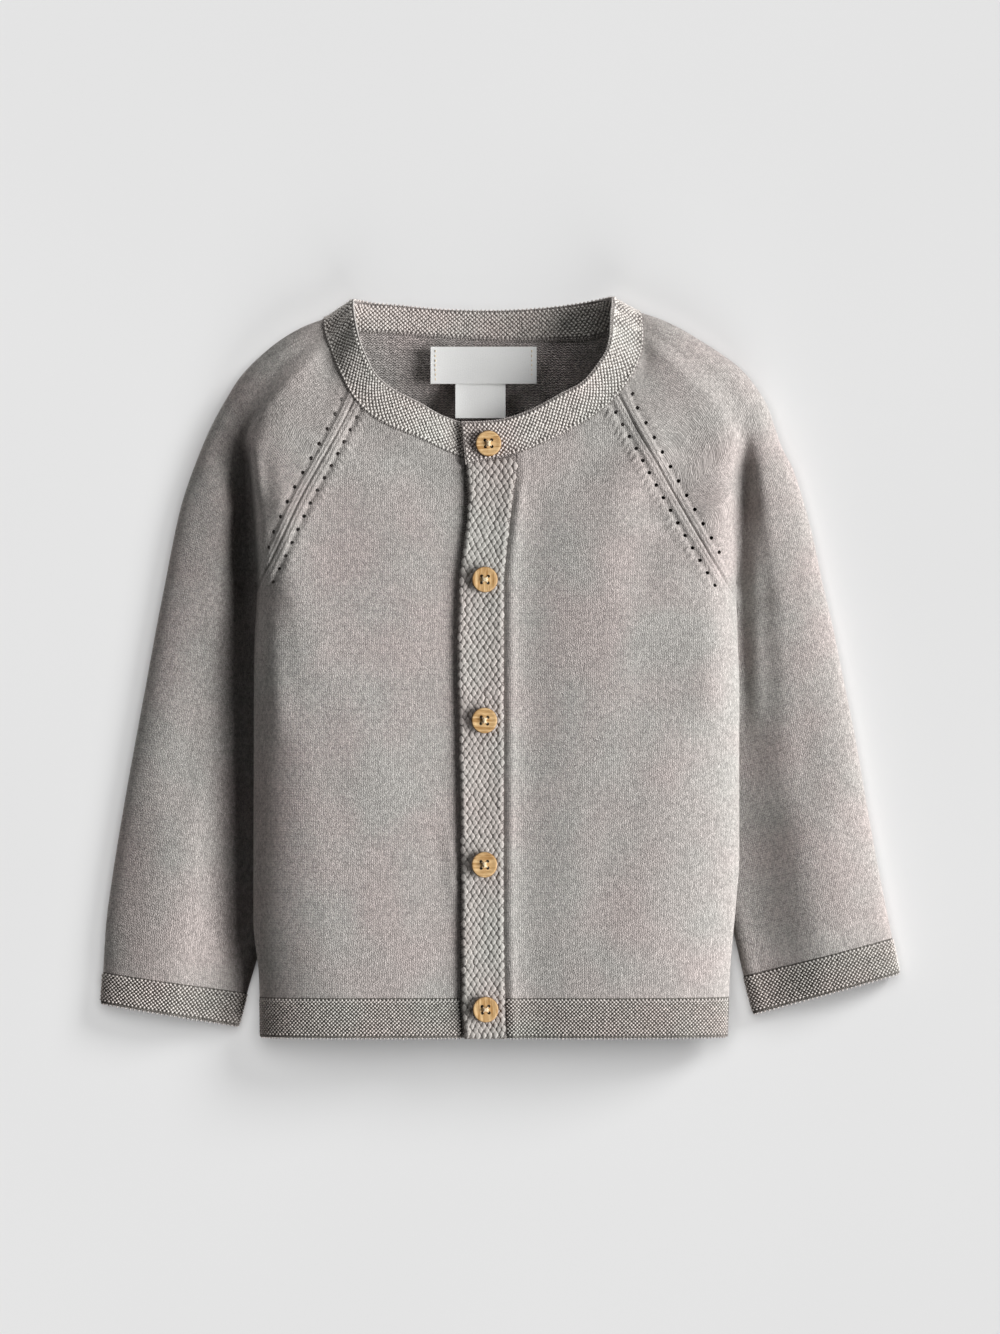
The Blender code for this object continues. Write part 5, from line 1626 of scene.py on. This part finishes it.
class Finish(Nodes):
    """The nodes of a material. Its gloss is set first, and done() sets colour and relief."""

    def __init__(self, name, roughness, sheen, specular):
        self.material = bpy.data.materials.new(name)
        self.material.use_nodes = True
        super().__init__(self.material.node_tree)
        self.shader = self.tree.nodes["Principled BSDF"].inputs
        self.shader["Roughness"].default_value = roughness
        self.shader["Specular IOR Level"].default_value = specular
        self.shader["Sheen Weight"].default_value = sheen
        self.shader["Sheen Roughness"].default_value = 0.5
        self.place = self.add("ShaderNodeTexCoord", out="Object")

    def noise(self, place, scale, detail=2.0):
        inputs = {"Vector": place, "Scale": scale, "Detail": detail, "Roughness": 0.6}
        return self.add("ShaderNodeTexNoise", inputs, "Fac")

    def ramp(self, value, low, high, to_low, to_high):
        keys = ("Value", "From Min", "From Max", "To Min", "To Max")
        return self.add("ShaderNodeMapRange", zip(keys, (value, low, high, to_low, to_high)))

    def mixed(self, share, first, second, kind="MIX"):
        inputs = {0: share, 6: first, 7: second}
        return self.add("ShaderNodeMix", inputs, 2, data_type="RGBA", blend_type=kind)

    def shaded(self, colour, value):
        """A colour made lighter or darker by a value."""
        grey = self.add("ShaderNodeCombineColor", dict.fromkeys(("Red", "Green", "Blue"), value))
        return self.mixed(1.0, colour, grey, "MULTIPLY")

    def attribute(self, name):
        return self.add("ShaderNodeAttribute", (), "Fac", attribute_name=name)

    def flat(self):
        return self.add("ShaderNodeUVMap", uv_map="Cloth")

    def stretched(self, place, scale):
        return self.add("ShaderNodeMapping", {"Vector": place, "Scale": scale})

    def done(self, colour, relief=None, strength=1.0, depth=0.0):
        self.tree.links.new(colour, self.shader["Base Color"])
        if relief is not None:
            inputs = {"Height": relief, "Strength": strength, "Distance": depth * MM}
            bump = self.add("ShaderNodeBump", inputs)
            self.tree.links.new(bump, self.shader["Normal"])
        return self.material

    def melange(self, base):
        """Yarn spun from lighter and darker fibres, with faint warm and cool stretches."""
        fine = self.ramp(self.noise(self.place, 1350.0, 1.0), 0.3, 0.7, 0.84, 1.16)
        fleck = self.ramp(self.noise(self.place, 520.0, 3.0), 0.35, 0.65, 0.96, 1.04)
        broad = self.ramp(self.noise(self.place, 30.0, 1.5), 0.35, 0.65, 0.0, 1.0)
        warm, cool = ((*(c * t for c, t in zip(base, tint)), 1.0) for tint in YARN_TINTS)
        return self.shaded(self.mixed(broad, warm, cool), self.calc("MULTIPLY", fine, fleck))

    def cloth_place(self):
        """Flat position on the cloth in millimetres, wandering a little as hand-fed yarn does."""
        uv = self.flat()
        inputs = {"Vector": uv, "Scale": 0.35, "Detail": 3.0, "Roughness": 0.7}
        drift = self.add("ShaderNodeTexNoise", inputs, "Color")
        parts = {0: drift, 1: (2.4, 2.0, 0.0), 2: uv}
        moved = self.add("ShaderNodeVectorMath", parts, operation="MULTIPLY_ADD")
        return self.separated(moved)[:2]

    def wave(self, kind, value, pitch):
        """A sine or cosine of a value that repeats at a pitch."""
        return self.calc(kind, self.calc("MULTIPLY", value, 2 * math.pi / pitch))

    def own_shade(self, wales, course):
        """One random value for each half wale of each course."""
        steps = self.calc("MULTIPLY", wales, 2.0), course
        cell = self.combined(*(self.calc("FLOOR", step) for step in steps))
        return self.add("ShaderNodeTexWhiteNoise", {0: cell}, "Value")

    def stocking(self, u, v):
        """Columns of V-shaped loops, two leaning legs to a wale: their height, and a shade
        that each leg of each loop has to itself."""
        calc = self.calc
        wales = calc("DIVIDE", u, WALE)
        off = calc("ABSOLUTE", calc("SUBTRACT", calc("FRACT", wales), 0.5))
        course = calc("MULTIPLY_ADD", off, -1.3, calc("DIVIDE", v, COURSE))
        loop = calc("MULTIPLY_ADD", self.wave("COSINE", course, 1.0), 0.3, 0.7)
        height = calc("MULTIPLY", calc("POWER", self.wave("SINE", off, 1.0), 0.7), loop)
        return height, self.own_shade(wales, course)

    def purl(self, u, v):
        """The wrong side of the same cloth: rows of small arched bumps."""
        wales = self.calc("DIVIDE", u, WALE)
        arch = self.wave("COSINE", wales, 1.0)
        course = self.calc("MULTIPLY_ADD", arch, 0.22, self.calc("DIVIDE", v, COURSE))
        height = self.calc("MULTIPLY_ADD", self.wave("COSINE", course, 1.0), 0.5, 0.5)
        return height, self.own_shade(wales, course)


def knit_finish(name, base, relief, depth, shade, spread):
    """Knitted cloth: melange yarn, its loops raised with painted shade between them, painted
    shade where a sleeve tucks in beside the body, and a soft fuzz.
    """
    cloth = Finish(name, 0.95, 0.1, 0.1)
    calc, ramp = cloth.calc, cloth.ramp
    u, v = cloth.cloth_place()
    height, own = relief(cloth, u, v)
    # Painted shade and light: the colour darkens where the loop relief is low, between the loops,
    # and lightens a little on their tops.
    hollow = ramp(height, 0.0, 1.0, shade, 1.0 + (1.0 - shade) * 0.5)
    own = ramp(own, 0.0, 1.0, 1 - spread, 1 + spread)
    streak = cloth.combined(calc("MULTIPLY", u, 0.06), calc("MULTIPLY", v, 0.9))
    streak = ramp(cloth.noise(streak, 1.0), 0.3, 0.7, 0.955, 1.045)
    tone = calc("MULTIPLY", calc("MULTIPLY", hollow, own), streak)
    # Painted shade: down to half as bright where a sleeve tucks in beside the body, in place of
    # the body's shadow on it.
    tone = calc("MULTIPLY", tone, ramp(cloth.attribute("painted_shade"), 0.0, 1.0, 1.0, 0.5))
    fuzz = cloth.noise(cloth.place, 2600.0)
    raised_by = calc("ADD", calc("MULTIPLY_ADD", fuzz, 0.5, height), own)
    return cloth.done(cloth.shaded(cloth.melange(base), tone), raised_by, 1.0, depth)


def yarn_finish(name, base, spread):
    """Single loops of the same yarn, each a little lighter or darker than the next."""
    yarn = Finish(name, 0.95, 0.12, 0.12)
    shade = yarn.ramp(yarn.attribute("tone"), 0.0, 1.0, 1 - spread, 1 + spread)
    twist = yarn.noise(yarn.stretched(yarn.place, (2600.0, 1200.0, 1800.0)), 1.0)
    return yarn.done(yarn.shaded(yarn.melange(base), shade), twist, 0.8, 0.12)


def wood_finish():
    """Pale turned wood: long grain lines, fine pores, painted shade on its sides and rim,
    and a satin surface.
    """
    wood = Finish("pale_wood", 0.42, 0.0, 0.4)
    lines = wood.noise(wood.stretched(wood.flat(), (0.09, 0.85, 1.0)), 1.0, 4.0)
    pores = wood.noise(wood.stretched(wood.flat(), (0.8, 7.0, 1.0)), 1.0)
    grain = wood.ramp(lines, 0.38, 0.6, 0.0, 1.0)
    colour = wood.mixed(grain, (*WOOD_DARK, 1.0), (*WOOD_LIGHT, 1.0))
    colour = wood.shaded(colour, wood.ramp(pores, 0.3, 0.7, 0.86, 1.07))
    # Painted shade: the colour darkens where the surface turns away from upright, on the sides and
    # rim.
    upright = wood.separated(wood.add("ShaderNodeNewGeometry", out="Normal"))[2]
    edge = wood.ramp(upright, 0.6, 0.985, 1.0, 0.0)
    wood.tree.links.new(wood.ramp(lines, 0.3, 0.7, 0.5, 0.36), wood.shader["Roughness"])
    return wood.done(wood.mixed(edge, colour, (*WOOD_EDGE_SHADE, 1.0)), pores, 0.5, 0.05)


def satin_finish():
    """White woven tape: fine cross threads with a soft shine."""
    satin = Finish("woven_satin", 0.55, 0.1, 0.35)
    u, v = satin.cloth_place()
    weft, warp = satin.wave("SINE", u, 0.7), satin.wave("SINE", v, 0.42)
    weave = satin.calc("MULTIPLY_ADD", weft, 0.35, warp)
    dim = tuple(c * 0.96 for c in SATIN) + (1.0,)
    cloud = satin.mixed(satin.noise(satin.place, 120.0), (*SATIN, 1.0), dim)
    shade = satin.ramp(weave, -1.35, 1.35, 0.95, 1.03)
    return satin.done(satin.shaded(cloud, shade), weave, 0.5, 0.04)


def floor_finish():
    floor = Finish("pale_floor", 0.9, 0.0, 0.1)
    cloud = floor.ramp(floor.noise(floor.place, 3.0), 0.3, 0.7, 0.985, 1.015)
    return floor.done(floor.shaded((*FLOOR, 1.0), cloud))


def make_finishes():
    return {
        "stocking": knit_finish("stocking_knit", KNIT, Finish.stocking, 0.2, 0.8, 0.19),
        "purl": knit_finish("purl_side_knit", PURL, Finish.purl, 0.35, 0.5, 0.24),
        # The grounds under the band stitches have painted shade in their colours.
        "moss": knit_finish("moss_ground_knit", MOSS_GROUND_SHADE, Finish.purl, 0.3, 0.6, 0.25),
        "band": knit_finish("band_ground_knit", BAND_GROUND_SHADE, Finish.purl, 0.3, 0.6, 0.25),
        "moss_yarn": yarn_finish("moss_yarn", MOSS_YARN_LIT, 0.12),
        "neck_yarn": yarn_finish("neck_yarn", NECK_YARN_LIT, 0.08),
        "band_yarn": yarn_finish("band_yarn", BAND_YARN, 0.1),
        "edge_yarn": yarn_finish("edge_yarn", EDGE_YARN, 0.08),
        "thread": yarn_finish("cream_thread", THREAD, 0.03),
        "wood": wood_finish(),
        "satin": satin_finish(),
        "floor": floor_finish(),
    }


# ---- the garment ----


def place(piece, slot, node=None):
    """Rides a piece on the garment, and hides the solid that it stands for. slot, its finish, is
    not used.
    """
    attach(piece, "root")
    if node:
        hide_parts(node)


def place_sheet(node, cloth, parts=()):
    """Places the cloth of a solid after the stitches on it."""
    slot, rests_on, width, length, area = SHEETS[node]
    for part in parts:
        place(part, slot)
    place(cloth, slot, node)


def dress():
    back = build_back()
    fronts = {side: build_front(side) for side in SIDES}
    sleeves = {side: build_sleeve(side) for side in SIDES}
    back_hem = build_back_hem()
    neckband = build_neckband()
    band, band_moss, under_band = build_front_bands()
    place_sheet("back", back)
    place_sheet("hem_back", *back_hem)
    for side in SIDES:
        place_sheet(f"front_{side}", fronts[side])
        place_sheet(f"sleeve_{side}", sleeves[side])
        place_sheet(f"hem_front_{side}", *build_front_hem(side))
        place_sheet(f"cuff_{side}", *build_cuff(side))
    place_sheet("neckband", *neckband)
    place_sheet("buttonhole_band", band, [band_moss])
    place_sheet("button_band", under_band)
    label, tab, sewing = build_label()
    place_sheet("label", label, [sewing])
    place_sheet("size_tab", tab)
    for number, (centre, turn) in enumerate(zip(BUTTONS, BUTTON_TURNS), 1):
        button, thread = build_button(number, centre, turn)
        place(button, "wood", f"button_{number}")
        place(thread, "satin")


def set_stage():
    """A pale floor, broad soft lights for the garment and others for the floor, and a camera
    straight above."""
    half = FLOOR_HALF
    lit = {name: bpy.data.collections.new(f"lit_{name}") for name in ("garment", "floor")}
    for obj in bpy.context.scene.objects:
        if obj.type == "MESH":
            lit["garment"].objects.link(obj)
    corners = np.array([(-half, -half, 0), (half, -half, 0), (half, half, 0), (-half, half, 0)])
    floor = mesh_piece("floor", corners, np.array([[0, 1, 2, 3]]), ("floor",))
    lit["floor"].objects.link(floor)
    for name, onto, turn, rise, size, strength in LIGHTS:
        light = bpy.data.lights.new(name, "SUN")
        light.energy, light.angle = strength, math.radians(size)
        lamp = placed(name, light)
        turn, rise = math.radians(turn), math.radians(rise)
        aim = (math.cos(turn) * math.cos(rise), math.sin(turn) * math.cos(rise), math.sin(rise))
        lamp.rotation_mode = "QUATERNION"
        lamp.rotation_quaternion = Vector(aim).to_track_quat("Z", "Y")
        lamp.light_linking.receiver_collection = lit[onto]
    world = bpy.data.worlds.new("air")
    world.use_nodes = True
    air = world.node_tree.nodes["Background"]
    air.inputs["Color"].default_value = (1.0, 1.0, 1.0, 1.0)
    air.inputs["Strength"].default_value = AIR_STRENGTH
    bpy.context.scene.world = world
    bpy.context.scene.view_settings.view_transform = "Standard"
    camera = bpy.data.cameras.new("camera")
    camera.sensor_width = SENSOR_WIDTH
    camera.lens = SENSOR_WIDTH * CAMERA_DISTANCE / VIEW_LENGTH
    camera.clip_end = 100.0
    eye = placed("camera", camera)
    eye.location = (0.0, VIEW_MIDDLE_Y, CAMERA_DISTANCE + VIEW_PLANE)
    bpy.context.scene.camera = eye


FINISHES = make_finishes()
STITCHES = stitch_tree()
dress()
set_stage()
